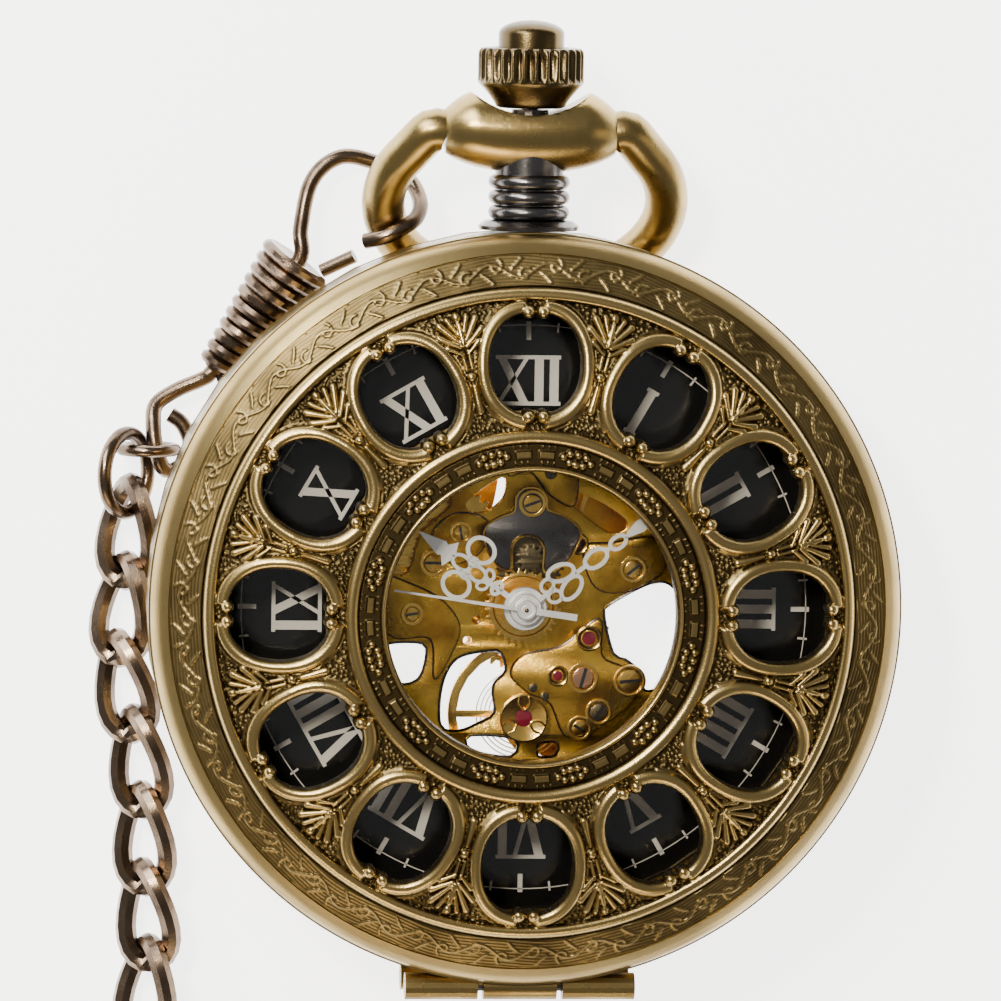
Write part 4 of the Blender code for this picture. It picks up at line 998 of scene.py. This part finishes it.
def fluted(angle, radius, height):
    """Cuts the flutes into the crown's grip, fading out at both of its ends."""
    depth = 0.32 * ease(height, crown_low + CONE + 0.05, crown_low + CONE + 0.35)
    depth *= 1 - ease(height, crown_high - 0.3, crown_high)
    return radius - float(depth) * (0.5 - 0.5 * math.cos(FLUTES * angle)) if radius > 2.6 else radius


crown_outline = [(0.6, crown_low), (1.9, crown_low), (2.15, crown_low + 0.1)]
crown_outline += [(2.15 + 1.1 * (k / 6) ** 1.3, crown_low + 0.1 + (CONE - 0.2) * k / 6) for k in range(1, 7)]
crown_outline += [(3.3, crown_low + CONE + 0.05), (3.3, crown_low + CONE + 0.35), (3.3, crown_high - 0.45),
                  (3.26, crown_high - 0.2), (3.1, crown_high - 0.05), (2.9, crown_high), (2.35, crown_high),
                  (2.3, crown_high - 0.08), (2.3, crown_high - BORE_DEEP), (0.6, crown_high - BORE_DEEP)]
add("crown_fluted", on_crown_axis(lathe("crown_fluted", crown_outline, FLUTES * 10, fluted)), "crown",
    crown_brass, ("crown_knob",), smooth_deg=50)
dome_foot = high("crown_button").y - BUTTON_DOME
button_outline = [(0, crown_high - 0.6), (BUTTON_R, crown_high - 0.6), (BUTTON_R, dome_foot)]
button_outline += [(BUTTON_R * math.cos(turn), dome_foot + BUTTON_DOME * math.sin(turn))
                   for turn in np.linspace(0.15, math.pi / 2, 10)]
add("button_dome", on_crown_axis(lathe("button_dome", button_outline, 64)), "lid_button", crown_brass,
    ("crown_button",))
repaint(black_bronze, "crown_pipe", "winding_stem", "bow_pin_left", "bow_pin_right", "front_hinge_pin",
        "back_hinge_pin")
knuckle_y, knuckle_z = middle("front_hinge_pin").y, middle("front_hinge_pin").z
knuckle = [Vector((x, knuckle_y, knuckle_z)) for x in (-2.3, 2.3)]
add("lid_knuckle", wire("lid_knuckle", knuckle, 0.84, 32), "front_lid", rim_brass)
print("crown", round(crown_high - crown_low, 2), "mm tall with", FLUTES, "flutes")

# %% [markdown]
# ## The dial
#
# The dial is glossy black enamel. Its numerals are printed, so they are strips of pale ink a few
# hundredths of a millimetre thick. Each numeral stands with its feet toward the centre, built of strokes:
# `u` runs round the dial and `v` outward from the middle.

# %% Dial, numerals and ticks
DIAL_IN, DIAL_OUT = 9.9, 20.2
INK_LOW, INK_HIGH = DIAL_TOP - 0.01, DIAL_TOP + 0.02
NUMERAL_FOOT, NUMERAL_TOP = 12.9, 15.55
THICK, THIN, SERIF = 0.56, 0.28, 0.24
NUMERALS = ("XII", "I", "II", "III", "IIII", "V", "VI", "VII", "VIII", "IX", "X", "XI")
WIDTHS = {"I": 0.52, "V": 1.9, "X": 1.9}
LETTER_GAP = 0.42
TRACK_R, TICK_OUT = (17.66, 17.72), 17.9


def prism(outline, bottom, top):
    """A flat outline given thickness, as (corners, faces)."""
    count = len(outline)
    corners = [(x, y, bottom) for x, y in outline] + [(x, y, top) for x, y in outline]
    faces = [tuple(range(count))[::-1], tuple(range(count, 2 * count))]
    faces += [(i, (i + 1) % count, count + (i + 1) % count, count + i) for i in range(count)]
    return corners, faces


def stroke(foot, top, width, v_low=NUMERAL_FOOT, v_high=NUMERAL_TOP):
    """A leaning bar of ink from foot to top."""
    return [(foot - width / 2, v_low), (foot + width / 2, v_low),
            (top + width / 2, v_high), (top - width / 2, v_high)]


def round_dial(outline, turn):
    """Carries an outline from twelve o'clock round the dial."""
    cos, sin = math.cos(turn), math.sin(turn)
    return [(u * cos + v * sin, v * cos - u * sin) for u, v in outline]


def letter(name, left):
    """The strokes of I, V or X. The last two have one thick stroke and one thin."""
    middle_u, right = left + WIDTHS[name] / 2, left + WIDTHS[name]
    if name == "I":
        return [stroke(middle_u, middle_u, THICK)]
    if name == "V":
        return [stroke(middle_u, left + THICK / 2, THICK), stroke(middle_u + 0.1, right - THIN / 2, THIN)]
    return [stroke(right - THICK / 2, left + THICK / 2, THICK),
            stroke(left + THIN / 2, right - THIN / 2, THIN)]


ink = []
for hour, numeral in enumerate(NUMERALS):
    width = sum(WIDTHS[name] for name in numeral) + LETTER_GAP * (len(numeral) - 1)
    strokes, left = [], -width / 2
    for name in numeral:
        strokes += letter(name, left)
        left += WIDTHS[name] + LETTER_GAP
    for v in (NUMERAL_FOOT - SERIF, NUMERAL_TOP):
        strokes.append([(-width / 2 - 0.15, v), (width / 2 + 0.15, v), (width / 2 + 0.15, v + SERIF),
                        (-width / 2 - 0.15, v + SERIF)])
    strokes.append(stroke(0, 0, 0.3, 16.75, TICK_OUT))
    ink += [prism(round_dial(outline, hour * math.tau / 12), INK_LOW, INK_HIGH) for outline in strokes]
for minute in range(60):
    if minute % 5:
        tick = stroke(0, 0, 0.13, 17.3, TICK_OUT)
        ink.append(prism(round_dial(tick, minute * math.tau / 60), INK_LOW, INK_HIGH))
plate_outline = rounded([(DIAL_IN, DIAL_TOP - 0.35), (DIAL_OUT, DIAL_TOP - 0.35), (DIAL_OUT, DIAL_TOP),
                         (DIAL_IN, DIAL_TOP)], 0.06)
add("dial_enamel", lathe("dial_enamel", plate_outline, 180), "case", enamel, ("dial",), smooth_deg=30)
add("dial_print", joined("dial_print", ink), "case", print_grey)
track = [(TRACK_R[0], INK_LOW), (TRACK_R[1], INK_LOW), (TRACK_R[1], INK_HIGH), (TRACK_R[0], INK_HIGH)]
add("minute_track", lathe("minute_track", track, 180), "case", print_grey)
print("printed strokes", len(ink))

# %% [markdown]
# ## The hands
#
# The hands are pierced silver-coloured sheet. They are drawn along X and then turned to their time, one
# list of strokes each: solid strips where the hand is a bar, and closed loops of narrow strip where it is
# pierced.

# %% Hands
HAND_THICK = 0.15
LAYERS, LAYER_STEP = 9, 0.004
HOUR_DEG, MINUTE_DEG, SECONDS_DEG = 305.6, 53.3, 278.2


def loop(at, half_long, half_wide, width=0.22, turn=0.0):
    """A strip bent into an oval, as a list of four-sided outlines."""
    cos, sin = math.cos(turn), math.sin(turn)
    ring = []
    for k in range(31):
        t = math.tau * k / 30
        sides = []
        for off in (-width / 2, width / 2):
            x, y = (half_long + off) * math.cos(t), (half_wide + off) * math.sin(t)
            sides.append((at[0] + x * cos - y * sin, at[1] + x * sin + y * cos))
        ring.append(sides)
    return [[first[0], first[1], second[1], second[0]] for first, second in zip(ring, ring[1:])]


def leaf(start, end, wide, swell=0.35):
    """A solid pointed leaf along X."""
    long = end - start
    return [(start, 0.08), (start + long * swell, wide), (end, 0.03), (end, -0.03),
            (start + long * swell, -wide), (start, -0.08)]


def strip(points):
    """A tapered strip along X through (x, half width)."""
    return [(x, half) for x, half in points] + [(x, -half) for x, half in reversed(points)]


def hand(name, outlines, low_z, degrees):
    """Turns the outlines to a time and thickens them, in faint steps so that no two faces coincide."""
    turn = math.radians(90 - degrees)
    cos, sin = math.cos(turn), math.sin(turn)
    parts = []
    for index, outline in enumerate(outlines):
        bottom = low_z + index % LAYERS * LAYER_STEP
        turned = [(x * cos - y * sin, x * sin + y * cos) for x, y in outline]
        parts.append(prism(turned, bottom, bottom + HAND_THICK))
    return joined(name, parts)


def hub(radius, low_z, high_z):
    """A turned disc at the middle of a hand. A wide one has a groove round its face."""
    if radius < 0.5:
        return lathe("hub", rounded([(0, low_z), (radius, low_z), (radius, high_z), (0, high_z)], 0.05), 48)
    return lathe("hub", [(0, low_z), (radius, low_z), (radius, high_z - 0.05), (radius - 0.05, high_z),
                         (radius - 0.17, high_z), (radius - 0.2, high_z - 0.12),
                         (radius - 0.3, high_z - 0.12), (radius - 0.34, high_z - 0.02),
                         (0, high_z - 0.02)], 64)


hour_low, minute_low, seconds_low = low("hour_hand").z, low("minute_hand").z, low("seconds_hand").z
hour_shape = [strip([(0.6, 0.2), (2.0, 0.16), (3.3, 0.16)]), leaf(5.75, 8.25, 0.5, 0.3),
              leaf(5.5, 6.6, 0.9, 0.3)]
hour_shape += loop((2.2, 0), 0.26, 0.42, 0.24)
hour_shape += loop((3.75, 0), 0.6, 0.42, 0.22) + loop((4.95, 0), 0.62, 0.42, 0.22)
minute_shape = [strip([(0.5, 0.2), (1.6, 0.13), (2.3, 0.13)]), strip([(3.9, 0.14), (4.8, 0.12)]),
                strip([(6.1, 0.12), (6.7, 0.12)]), leaf(7.6, 13.4, 0.4, 0.2)]
for side in (1, -1):
    hour_shape += loop((4.4, side * 1.32), 0.88, 0.76, 0.26)
    hour_shape += loop((3.05, side * 0.42), 0.34, 0.24, 0.18, side * 0.7)
    hour_shape += loop((4.35, side * 0.5), 0.34, 0.2, 0.2)
    minute_shape += loop((1.95, side * 0.42), 0.44, 0.36, 0.2, side * 0.3)
    minute_shape += loop((3.1, side * 0.58), 0.84, 0.5, 0.25, -side * 0.3)
minute_shape += loop((5.4, 0), 0.78, 0.5, 0.26)
minute_shape += loop((7.1, 0), 0.56, 0.36, 0.24)
seconds_shape = [strip([(-3.2, 0.21), (-0.5, 0.19), (0.5, 0.12), (8.35, 0.055)])]
for node, name, body, shape_list, bottom, time_deg, hub_r, hub_rise in (
        ("hour_hand", "hour_hand_pierced", "hour_group", hour_shape, hour_low, HOUR_DEG, 1.37, 0.2),
        ("minute_hand", "minute_hand_pierced", "minute_group", minute_shape, minute_low, MINUTE_DEG,
         1.0, 0.2),
        ("seconds_hand", "seconds_needle", "seconds_group", seconds_shape, seconds_low, SECONDS_DEG,
         0.62, 0.25)):
    mesh = together(hand(name, shape_list, bottom, time_deg), hub(hub_r, bottom - 0.1, bottom + hub_rise))
    add(name, mesh, body, bright_steel, (node,))
    print(name, "at", time_deg, "degrees from twelve")
add("seconds_pin", hub(0.14, seconds_low, seconds_low + 0.3), "seconds_group", dark_steel)
repaint(glass, "front_crystal", "back_crystal")

# %% [markdown]
# ## The movement
#
# A skeleton movement is a gilt plate with as much cut away as it can spare. Light comes up through the
# openings from behind, so the plate and every bridge under it have to leave the same gaps free. The gaps
# are listed once, in millimetres on the plate, and every bridge is drawn round them.

# %% Plates and bridges
GAPS = [
    [(-8.6, -2.6), (-6.2, -2.5), (-6.0, -3.6), (-6.5, -4.8), (-7.7, -5.0), (-8.6, -3.8)],
    [(-4.98, -7.6), (-4.9, -5.1), (-3.98, -3.43), (-1.99, -2.93), (-1.24, -3.06), (-0.93, -4.18),
     (-1.55, -4.86), (-1.74, -5.49), (-1.61, -6.86), (-2.6, -7.5), (-3.9, -8.0)],
    [(5.61, 0.06), (8.2, 1.4), (9.6, 1.1), (10.5, -0.9), (10.2, -3.4), (9.1, -5.0), (7.9, -5.4),
     (7.5, -4.2), (6.61, -3.43), (5.86, -3.06), (5.24, -0.69)],
    [(-3.1, -8.3), (-0.3, -8.5), (-0.5, -9.6), (-3.0, -9.2)],
    [(1.2, -8.8), (2.4, -8.7), (2.3, -9.5), (1.2, -9.6)],
]
DARK_HOLES = [
    [(-8.6, 2.2), (-7.2, 4.9), (-5.2, 7.0), (-4.5, 6.2), (-6.3, 4.4), (-7.2, 1.9)],
    [(-3.6, 6.3), (-1.9, 7.7), (-1.1, 7.9), (-1.3, 6.6), (-2.6, 5.7)],
    [(2.2, 7.3), (4.6, 6.6), (6.6, 5.2), (5.6, 4.5), (3.4, 6.0)],
]
PLATE_R = high("main_plate").x


def softened(outline):
    """A closed outline drawn smoothly through its corners."""
    return [(p.x, p.y) for p in smooth_route([(x, y, 0) for x, y in outline], 0.35, closed=True)]


plate_outlines = [circle(PLATE_R, points=160)] + [softened(hole) for hole in GAPS + DARK_HOLES]
plate_outlines += [circle(0.27, (-2.8, -1.0)), circle(0.27, (-3.36, -2.3))]
add("skeleton_plate", press("skeleton_plate", plate_outlines, PLATE_LOW, PLATE_TOP, 0.06), "case", gilt,
    ("main_plate",))
print("plate radius", round(PLATE_R, 2), "with", len(plate_outlines) - 1, "openings")

# %% [markdown]
# Parts of the plate stand a little higher than the rest, like low islands. A fine dark line runs round each
# of them and round each opening: painted shadow along their edges.

# %% Raised decks
RAISED = [
    [(-9.2, -0.4), (-8.6, 1.6), (-6.9, 1.2), (-5.0, 0.2), (-3.9, -1.4), (-4.4, -3.1), (-5.4, -4.7),
     (-5.7, -2.2), (-8.0, -2.1)],
    [(0.2, -3.2), (2.6, -2.6), (4.9, -0.9), (5.1, -3.2), (6.4, -3.9), (7.6, -4.7), (7.0, -6.1), (5.2, -7.6),
     (3.0, -8.3), (1.9, -6.2), (0.5, -5.5), (-0.6, -4.4)],
    [(-4.2, 5.7), (-2.2, 5.2), (-2.6, 3.4), (-4.4, 2.6), (-5.7, 4.3)],
    [(3.9, 3.6), (5.6, 3.9), (8.4, 4.2), (8.9, 2.3), (6.6, 0.9), (4.6, 1.2)],
    [(1.6, 7.0), (3.2, 6.3), (3.0, 8.9), (-0.5, 9.3), (-0.9, 8.1), (0.4, 8.4)],
]
DECK_RISES = (0.35, 0.5, 0.3, 0.45, 0.3)
decks = [press(f"deck_{index}", [softened(outline)], PLATE_TOP - 0.05, PLATE_TOP + rise, 0.08)
         for index, (outline, rise) in enumerate(zip(RAISED, DECK_RISES))]
add("plate_decks", together(*decks), "case", gilt)
# Painted shadow: a dark wire laid round every deck and every opening of the plate.
edges = [bar([Vector((x, y, PLATE_TOP + 0.03)) for x, y in softened(outline)], 0.09, 6, closed=True)
         for outline in RAISED + GAPS]
add("plate_edge_shadows", joined("plate_edge_shadows", edges), "case", black_bronze)
print("decks", len(decks), "dark lines", len(edges))

# %% [markdown]
# Three bridges hold the train from behind, and one small dark arch holds the minute wheel in front. The
# arch has a bright line along its edge.

# %% Bridges
BRIDGE_OUTLINES = {
    "barrel_bridge": [(-11.6, -2.2), (-8.6, -1.9), (-5.6, -2.0), (-4.4, -1.0), (-3.4, 1.6), (-2.2, 3.6),
                      (-1.4, 8.8), (-5.4, 10.9), (-9.6, 8.2), (-11.8, 3.0)],
    "train_bridge": [(-1.6, 3.2), (2.2, 8.6), (7.2, 7.6), (9.6, 4.6), (9.4, 2.0), (5.9, 0.8), (5.2, -1.4),
                     (6.2, -4.2), (4.4, -5.4), (1.2, -5.2), (-0.4, -3.2), (-1.0, -1.6), (-3.2, -0.9),
                     (-2.6, 1.4)],
    "balance_cock": [(-0.9, -8.0), (-0.4, -6.3), (0.8, -5.9), (1.6, -6.7), (3.6, -8.4), (5.6, -9.4),
                     (3.4, -11.3), (1.6, -9.9), (0.2, -9.7)],
}
BRIDGE_THICK = 0.6
for node, outline in BRIDGE_OUTLINES.items():
    sheet = press(node, [softened(outline)], low(node).z, low(node).z + BRIDGE_THICK, 0.06)
    add(node + "_shaped", sheet, "case", gilt, (node,))

ARCH = [(-2.5, 4.9), (-1.6, 5.6), (-0.65, 6.0), (-0.6, 6.8), (-0.1, 7.4), (0.8, 7.4), (1.35, 6.8),
        (1.4, 6.1), (2.5, 5.7), (3.5, 4.8), (3.1, 3.5), (2.5, 2.7), (1.3, 2.2), (1.25, 3.7), (0.85, 4.3),
        (0.22, 4.5), (-0.45, 4.3), (-0.8, 3.7), (-0.85, 2.3), (-1.8, 2.7), (-2.3, 3.6)]
ARCH_THICK = 0.22
bridge_z = high("minute_wheel_bridge").z - ARCH_THICK
arch_sheet = press("arch_bridge", [softened(ARCH)], bridge_z, bridge_z + ARCH_THICK, 0.04)
add("arch_bridge", arch_sheet, "case", black_bronze, ("minute_wheel_bridge",))
arch_line = [Vector((x, y, bridge_z + ARCH_THICK - 0.01)) for x, y in softened(ARCH)]
add("arch_edge", wire("arch_edge", arch_line, 0.1, 6, closed=True), "case", gilt_wheel)
print("bridges", len(BRIDGE_OUTLINES) + 1)

# %% [markdown]
# ## Wheels
#
# Every wheel is pressed from sheet, with teeth round its edge. The wheels of the train also have windows
# between arms, and each turns on a plain shaft.

# %% Toothed wheels
def teeth(radius, count, depth):
    """The outline of a toothed wheel: a root, a rise, a flat tip and a fall for each tooth."""
    points = []
    for k in range(count):
        for share, r in ((0.0, radius - depth), (0.2, radius - depth), (0.38, radius), (0.62, radius),
                         (0.8, radius - depth)):
            turn = math.tau * (k + share) / count
            points.append((r * math.cos(turn), r * math.sin(turn)))
    return points


def spaces(inner, outer, arms, half_arm=0.16):
    """The windows between a wheel's arms, from near the hub to near the rim."""
    outlines = []
    for arm in range(arms):
        start = math.tau * arm / arms
        sweep = math.tau / arms
        far, near = half_arm / outer, half_arm / inner
        outlines.append(circle(outer, points=12, start=start + far, sweep=sweep - 2 * far)
                        + circle(inner, points=6, start=start + sweep - near, sweep=2 * near - sweep))
    return outlines


def spoked(node, name, body, material, count, bottom, top, arms=5, rim=0.7, hub_r=0.9):
    """A toothed wheel in place of a node. With no arms it stays a full disc."""
    centre = middle(node)
    radius = (high(node).x - low(node).x) / 2
    outlines = [teeth(radius, count, radius * 3.2 / count)]
    if arms:
        outlines += spaces(hub_r, radius - rim, arms)
    mesh = moved(press(name, outlines, bottom, top, 0.02), centre.x, centre.y)
    return add(name, mesh, body, material, (node,), smooth_deg=30)


def arbor(name, body, node, radius, bottom, top, bore=0.0):
    """The shaft of a wheel; the centre wheel's is bored, because the seconds shaft turns inside it."""
    outline = [(bore, bottom), (radius, bottom), (radius, top), (bore, top)]
    add(name, moved(lathe(name, outline, 48), middle(node).x, middle(node).y), body, bright_steel)


WHEEL_THICK = 0.2
for node, body, under, shaft, bore in (("fourth_wheel", "seconds_group", 2.6, 0.16, 0.0),
                                       ("third_wheel", "third_group", 2.2, 0.28, 0.0),
                                       ("centre_wheel", "centre_group", 1.45, 0.34, 0.22)):
    spoked(node, node + "_spoked", body, gilt_wheel, 40, PLATE_LOW - under, PLATE_LOW - under + WHEEL_THICK)
    arbor(node + "_arbor", body, node, shaft, low(node).z, PLATE_LOW - 0.05, bore)
spoked("mainspring_barrel", "barrel_toothed", "barrel_group", gilt_wheel, 50, PLATE_LOW - 1.05,
       PLATE_LOW - 0.35, arms=0)
arbor("barrel_arbor", "barrel_group", "mainspring_barrel", 0.6, low("mainspring_barrel").z, PLATE_LOW - 0.1)
spoked("escape_wheel", "escape_toothed", "escape_group", dark_steel, 15, PLATE_LOW - 1.85, PLATE_LOW - 1.65,
       arms=4, rim=0.35, hub_r=0.4)
arbor("escape_arbor", "escape_group", "escape_wheel", 0.14, low("escape_wheel").z, PLATE_LOW - 0.05)
print("train wheels sit", WHEEL_THICK, "mm thick behind the plate")

# %% [markdown]
# The motion work sits in front of the plate: the minute wheel drives the hour wheel, which carries a
# turned step up to the hour hand.

# %% Motion work
hour_z = PLATE_TOP + 0.8
spoked("hour_wheel", "hour_toothed", "hour_group", gilt_wheel, 32, hour_z, hour_z + WHEEL_THICK, arms=0)
step_ring = lathe("hour_step", rounded([(0.45, hour_z + 0.15), (2.1, hour_z + 0.15), (2.1, hour_z + 0.32),
                                        (1.9, hour_z + 0.34), (1.85, hour_z + 0.25), (0.9, hour_z + 0.25),
                                        (0.9, hour_low), (0.45, hour_low)], 0.03), 96)
add("hour_step", step_ring, "hour_group", gilt_wheel)
spoked("minute_wheel", "minute_toothed", "minute_wheel_body", dark_steel, 30, PLATE_TOP + 0.3,
       PLATE_TOP + 0.5, arms=0)
pinion = press("minute_pinion", [teeth(0.98, 12, 0.3)], PLATE_TOP + 0.5, high("minute_wheel").z + 0.1, 0.03)
add("minute_pinion", moved(pinion, middle("minute_wheel").x, middle("minute_wheel").y), "minute_wheel_body",
    dark_steel)
repaint(dark_steel, "cannon_pinion", "ratchet_wheel", "crown_wheel", "click", "lock_spring")
repaint(bright_steel, "pallet_fork")
repaint(gilt, "movement_ring")
repaint(rim_brass, "front_bezel", "case_middle", "back_cover")
print("hour wheel from", round(hour_z, 2), "to", round(hour_z + WHEEL_THICK, 2))

# %% [markdown]
# The balance is a smooth ring on two arms, with a flat spiral spring just behind it. It swings on a thin
# staff.

# %% Balance and hairspring
balance = middle("balance_wheel")
BALANCE_R = (high("balance_wheel").x - low("balance_wheel").x) / 2
balance_z = PLATE_LOW - 1.0
ring_outlines = [circle(BALANCE_R, points=96)] + spaces(0.5, BALANCE_R - 0.55, 2, 0.22)
balance_ring = press("balance_ring", ring_outlines, balance_z, balance_z + 0.4, 0.05)
add("balance_ring", moved(balance_ring, balance.x, balance.y), "balance_group", gilt_wheel,
    ("balance_wheel",))
arbor("balance_staff", "balance_group", "balance_wheel", 0.16, low("balance_wheel").z, PLATE_LOW - 0.05)
SPRING_IN, SPRING_GROWTH, SPRING_TURNS, SPRING_STEPS = 0.5, 2.4, 9, 400
spring = []
for k in range(SPRING_STEPS + 1):
    radius = SPRING_IN + SPRING_GROWTH * k / SPRING_STEPS
    turn = math.tau * SPRING_TURNS * k / SPRING_STEPS
    spring.append(Vector((balance.x + radius * math.cos(turn), balance.y + radius * math.sin(turn),
                          PLATE_LOW - 1.12)))
add("spiral_spring", wire("spiral_spring", spring, 0.045, 6), "balance_group", bright_steel, ("hairspring",))
print("balance radius", round(BALANCE_R, 2), "spring turns", SPRING_TURNS)

# %% [markdown]
# ## Jewels and screws
#
# A jewel is a domed ruby in a polished sink, and a screw is a low head with a slot. Both are turned, and the
# screw's slot is a dark strip let into its face: painted shadow where the slot's groove would be.

# %% Jewels and screws
SINK = PLATE_TOP + 0.62


def jewel(node, name, ruby_r, sink_r, top):
    """A ruby in a polished sink, over the middle of a node."""
    centre = middle(node)
    bowl = lathe(name, [(ruby_r, top - 0.12), (sink_r - 0.08, top + 0.02), (sink_r, top + 0.05),
                        (sink_r + 0.1, top), (sink_r + 0.1, top - 0.3), (ruby_r, top - 0.3)], 48)
    stone = lathe(name + "_stone", [(0, top - 0.05), (ruby_r * 0.55, top - 0.07), (ruby_r, top - 0.14),
                                    (ruby_r, top - 0.34), (0, top - 0.34)], 40)
    add(name + "_sink", moved(bowl, centre.x, centre.y), "case", gilt_wheel)
    add(name + "_stone", moved(stone, centre.x, centre.y), "case", ruby, (node,))


jewel("third_jewel", "third", 0.33, 0.62, SINK)
jewel("escape_jewel", "escape", 0.5, 0.72, SINK)
jewel("pallet_jewel", "pallet", 0.36, 0.58, SINK)
jewel("balance_jewel", "balance", 0.55, 1.42, SINK + 0.1)
shock = middle("balance_jewel")
shock_top = Vector((shock.x, shock.y, SINK + 0.16))
clip = []
for k in range(3):
    turn = math.tau * k / 3 + math.pi / 2
    out = Vector((math.cos(turn), math.sin(turn), 0))
    side = Vector((-out.y, out.x, 0))
    clip.append(bar(smooth_route([shock_top + out * reach + side * aside for reach, aside in (
        (1.36, 0.3), (0.9, 0.34), (0.52, 0.0), (0.9, -0.34), (1.36, -0.3))], 0.1), 0.07, 8))
add("shock_spring", joined("shock_spring", clip), "case", gilt_wheel)


def screw(name, at, radius, top, material, slot_deg, node=None, ring=False):
    """A low head with a dark strip as the painted shadow of its slot, in a raised ring if it has one."""
    head = lathe(name, rounded([(0, top - 0.4), (radius, top - 0.4), (radius, top), (0, top)], 0.07), 40)
    add(name, moved(head, *at), "case", material, (node,) if node else ())
    turn = math.radians(slot_deg)
    along, across = Vector((math.cos(turn), math.sin(turn))), Vector((-math.sin(turn), math.cos(turn)))
    long, half = 0.94 * radius, 0.11 * radius + 0.03
    corners = [Vector(at) + along * (u * long) + across * (v * half)
               for u, v in ((-1, -1), (1, -1), (1, 1), (-1, 1))]
    # The slot is not cut: this dark strip is its painted shadow.
    shadow_strip = joined(name + "_slot_shadow", [prism(corners, top - 0.1, top + 0.012)])
    add(name + "_slot_shadow", shadow_strip, "case", black_bronze)
    if ring:
        outline = rounded([(radius + 0.08, top - 0.4), (radius + 0.3, top - 0.4),
                           (radius + 0.3, top - 0.05), (radius + 0.08, top - 0.05)], 0.04)
        add(name + "_ring", moved(lathe(name + "_ring", outline, 40), *at), "case", gilt_wheel)


for node, radius, top, material, slot_deg, ring in (
        ("bridge_screw", 0.56, bridge_z + 0.42, gilt_wheel, 20, True),
        ("plate_screw_1", 0.72, SINK + 0.05, gilt_wheel, 5, True),
        ("plate_screw_2", 0.56, SINK + 0.05, dark_steel, 60, True),
        ("plate_screw_3", 0.68, SINK + 0.08, copper, 75, True)):
    centre = middle(node)
    screw(node + "_head", (centre.x, centre.y), radius, top, material, slot_deg, node, ring)
screw("plate_screw_4", (3.75, -7.75), 0.5, SINK + 0.02, gilt_wheel, 150, ring=True)
screw("plate_screw_5", (0.75, -5.2), 0.28, SINK + 0.02, dark_steel, 30)
screw("plate_screw_6", (1.5, -5.75), 0.28, SINK + 0.02, dark_steel, 110)
screw("deck_screw_1", (6.98, 2.3), 0.55, PLATE_TOP + 0.6, gilt_wheel, 40, ring=True)
screw("deck_screw_2", (-3.9, 4.5), 0.45, PLATE_TOP + 0.45, gilt_wheel, 100, ring=True)
screw("deck_screw_3", (-6.9, -0.6), 0.42, PLATE_TOP + 0.5, gilt_wheel, 10, ring=True)
screw("deck_screw_4", (1.7, 8.3), 0.4, PLATE_TOP + 0.42, dark_steel, 80)
screw("barrel_boss", (-5.6, 2.6), 0.55, PLATE_TOP + 0.25, gilt_wheel, 0, ring=True)
print("pieces", len(made))

# %% [markdown]
# ## The table and the light
#
# The watch lies on a pale light table, so the openings in its movement show white. One large cool lamp
# lights it from the upper left, a weak warm one from the right, a long warm one from the foot, and a
# small one above.

# %% Table and lights
TABLE_HALF = 1.2
table_corners = [(TABLE_HALF * x, TABLE_HALF * y, 0) for x, y in ((-1, -1), (1, -1), (1, 1), (-1, 1))]
table_mesh = mesh_of("table", table_corners, [(0, 1, 2, 3)])
table = bpy.data.objects.new("table", table_mesh)
table.location.z = -0.02 * MM
bpy.context.scene.collection.objects.link(table)
table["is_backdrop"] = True
pale, _, pale_shader = new_material("pale_table")
pale_shader.inputs["Base Color"].default_value = (0.93, 0.93, 0.93, 1)
pale_shader.inputs["Roughness"].default_value = 0.9
pale_shader.inputs["Emission Color"].default_value = (1, 1, 1, 1)
pale_shader.inputs["Emission Strength"].default_value = 3.8
table_mesh.materials.append(pale)

world = bpy.data.worlds.new("studio")
world.use_nodes = True
background = world.node_tree.nodes["Background"]
background.inputs["Color"].default_value = (0.90, 0.90, 0.88, 1)
background.inputs["Strength"].default_value = 0.27
bpy.context.scene.world = world


def lamp(name, at, aim, size, watts, colour):
    """A soft rectangular lamp, turned from its place toward what it lights."""
    light = bpy.data.lights.new(name, "AREA")
    light.shape = "RECTANGLE"
    light.size, light.size_y = size[0] * MM, size[1] * MM
    light.energy = watts
    light.color = colour
    holder = bpy.data.objects.new(name, light)
    holder.location = Vector(at) * MM
    holder.rotation_mode = "QUATERNION"
    holder.rotation_quaternion = (Vector(aim) - Vector(at)).to_track_quat("-Z", "Y")
    bpy.context.scene.collection.objects.link(holder)


lamp("key", (-230, 300, 260), (0, 5, 5), (200, 260), 2.2, (0.97, 1.0, 1.0))
lamp("fill", (380, -40, 170), (0, 5, 5), (160, 320), 0.14, (1.0, 0.84, 0.55))
lamp("front", (-60, -360, 200), (0, 0, 5), (320, 120), 0.9, (1.0, 0.80, 0.50))
lamp("above", (-130, 130, 310), (0, 0, 5), (60, 60), 1.3, (1.0, 0.93, 0.78))

# %% [markdown]
# ## Both boxes, and finish
#
# The looks must stay inside the frame's own box, because other things are placed by it. Both boxes are
# printed, one under the other.

# %% Finish
visual_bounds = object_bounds()
for label, found in (("frame", cad_bounds), ("visual", visual_bounds)):
    print(label, [[round(value / MM, 2) for value in corner] for corner in found])
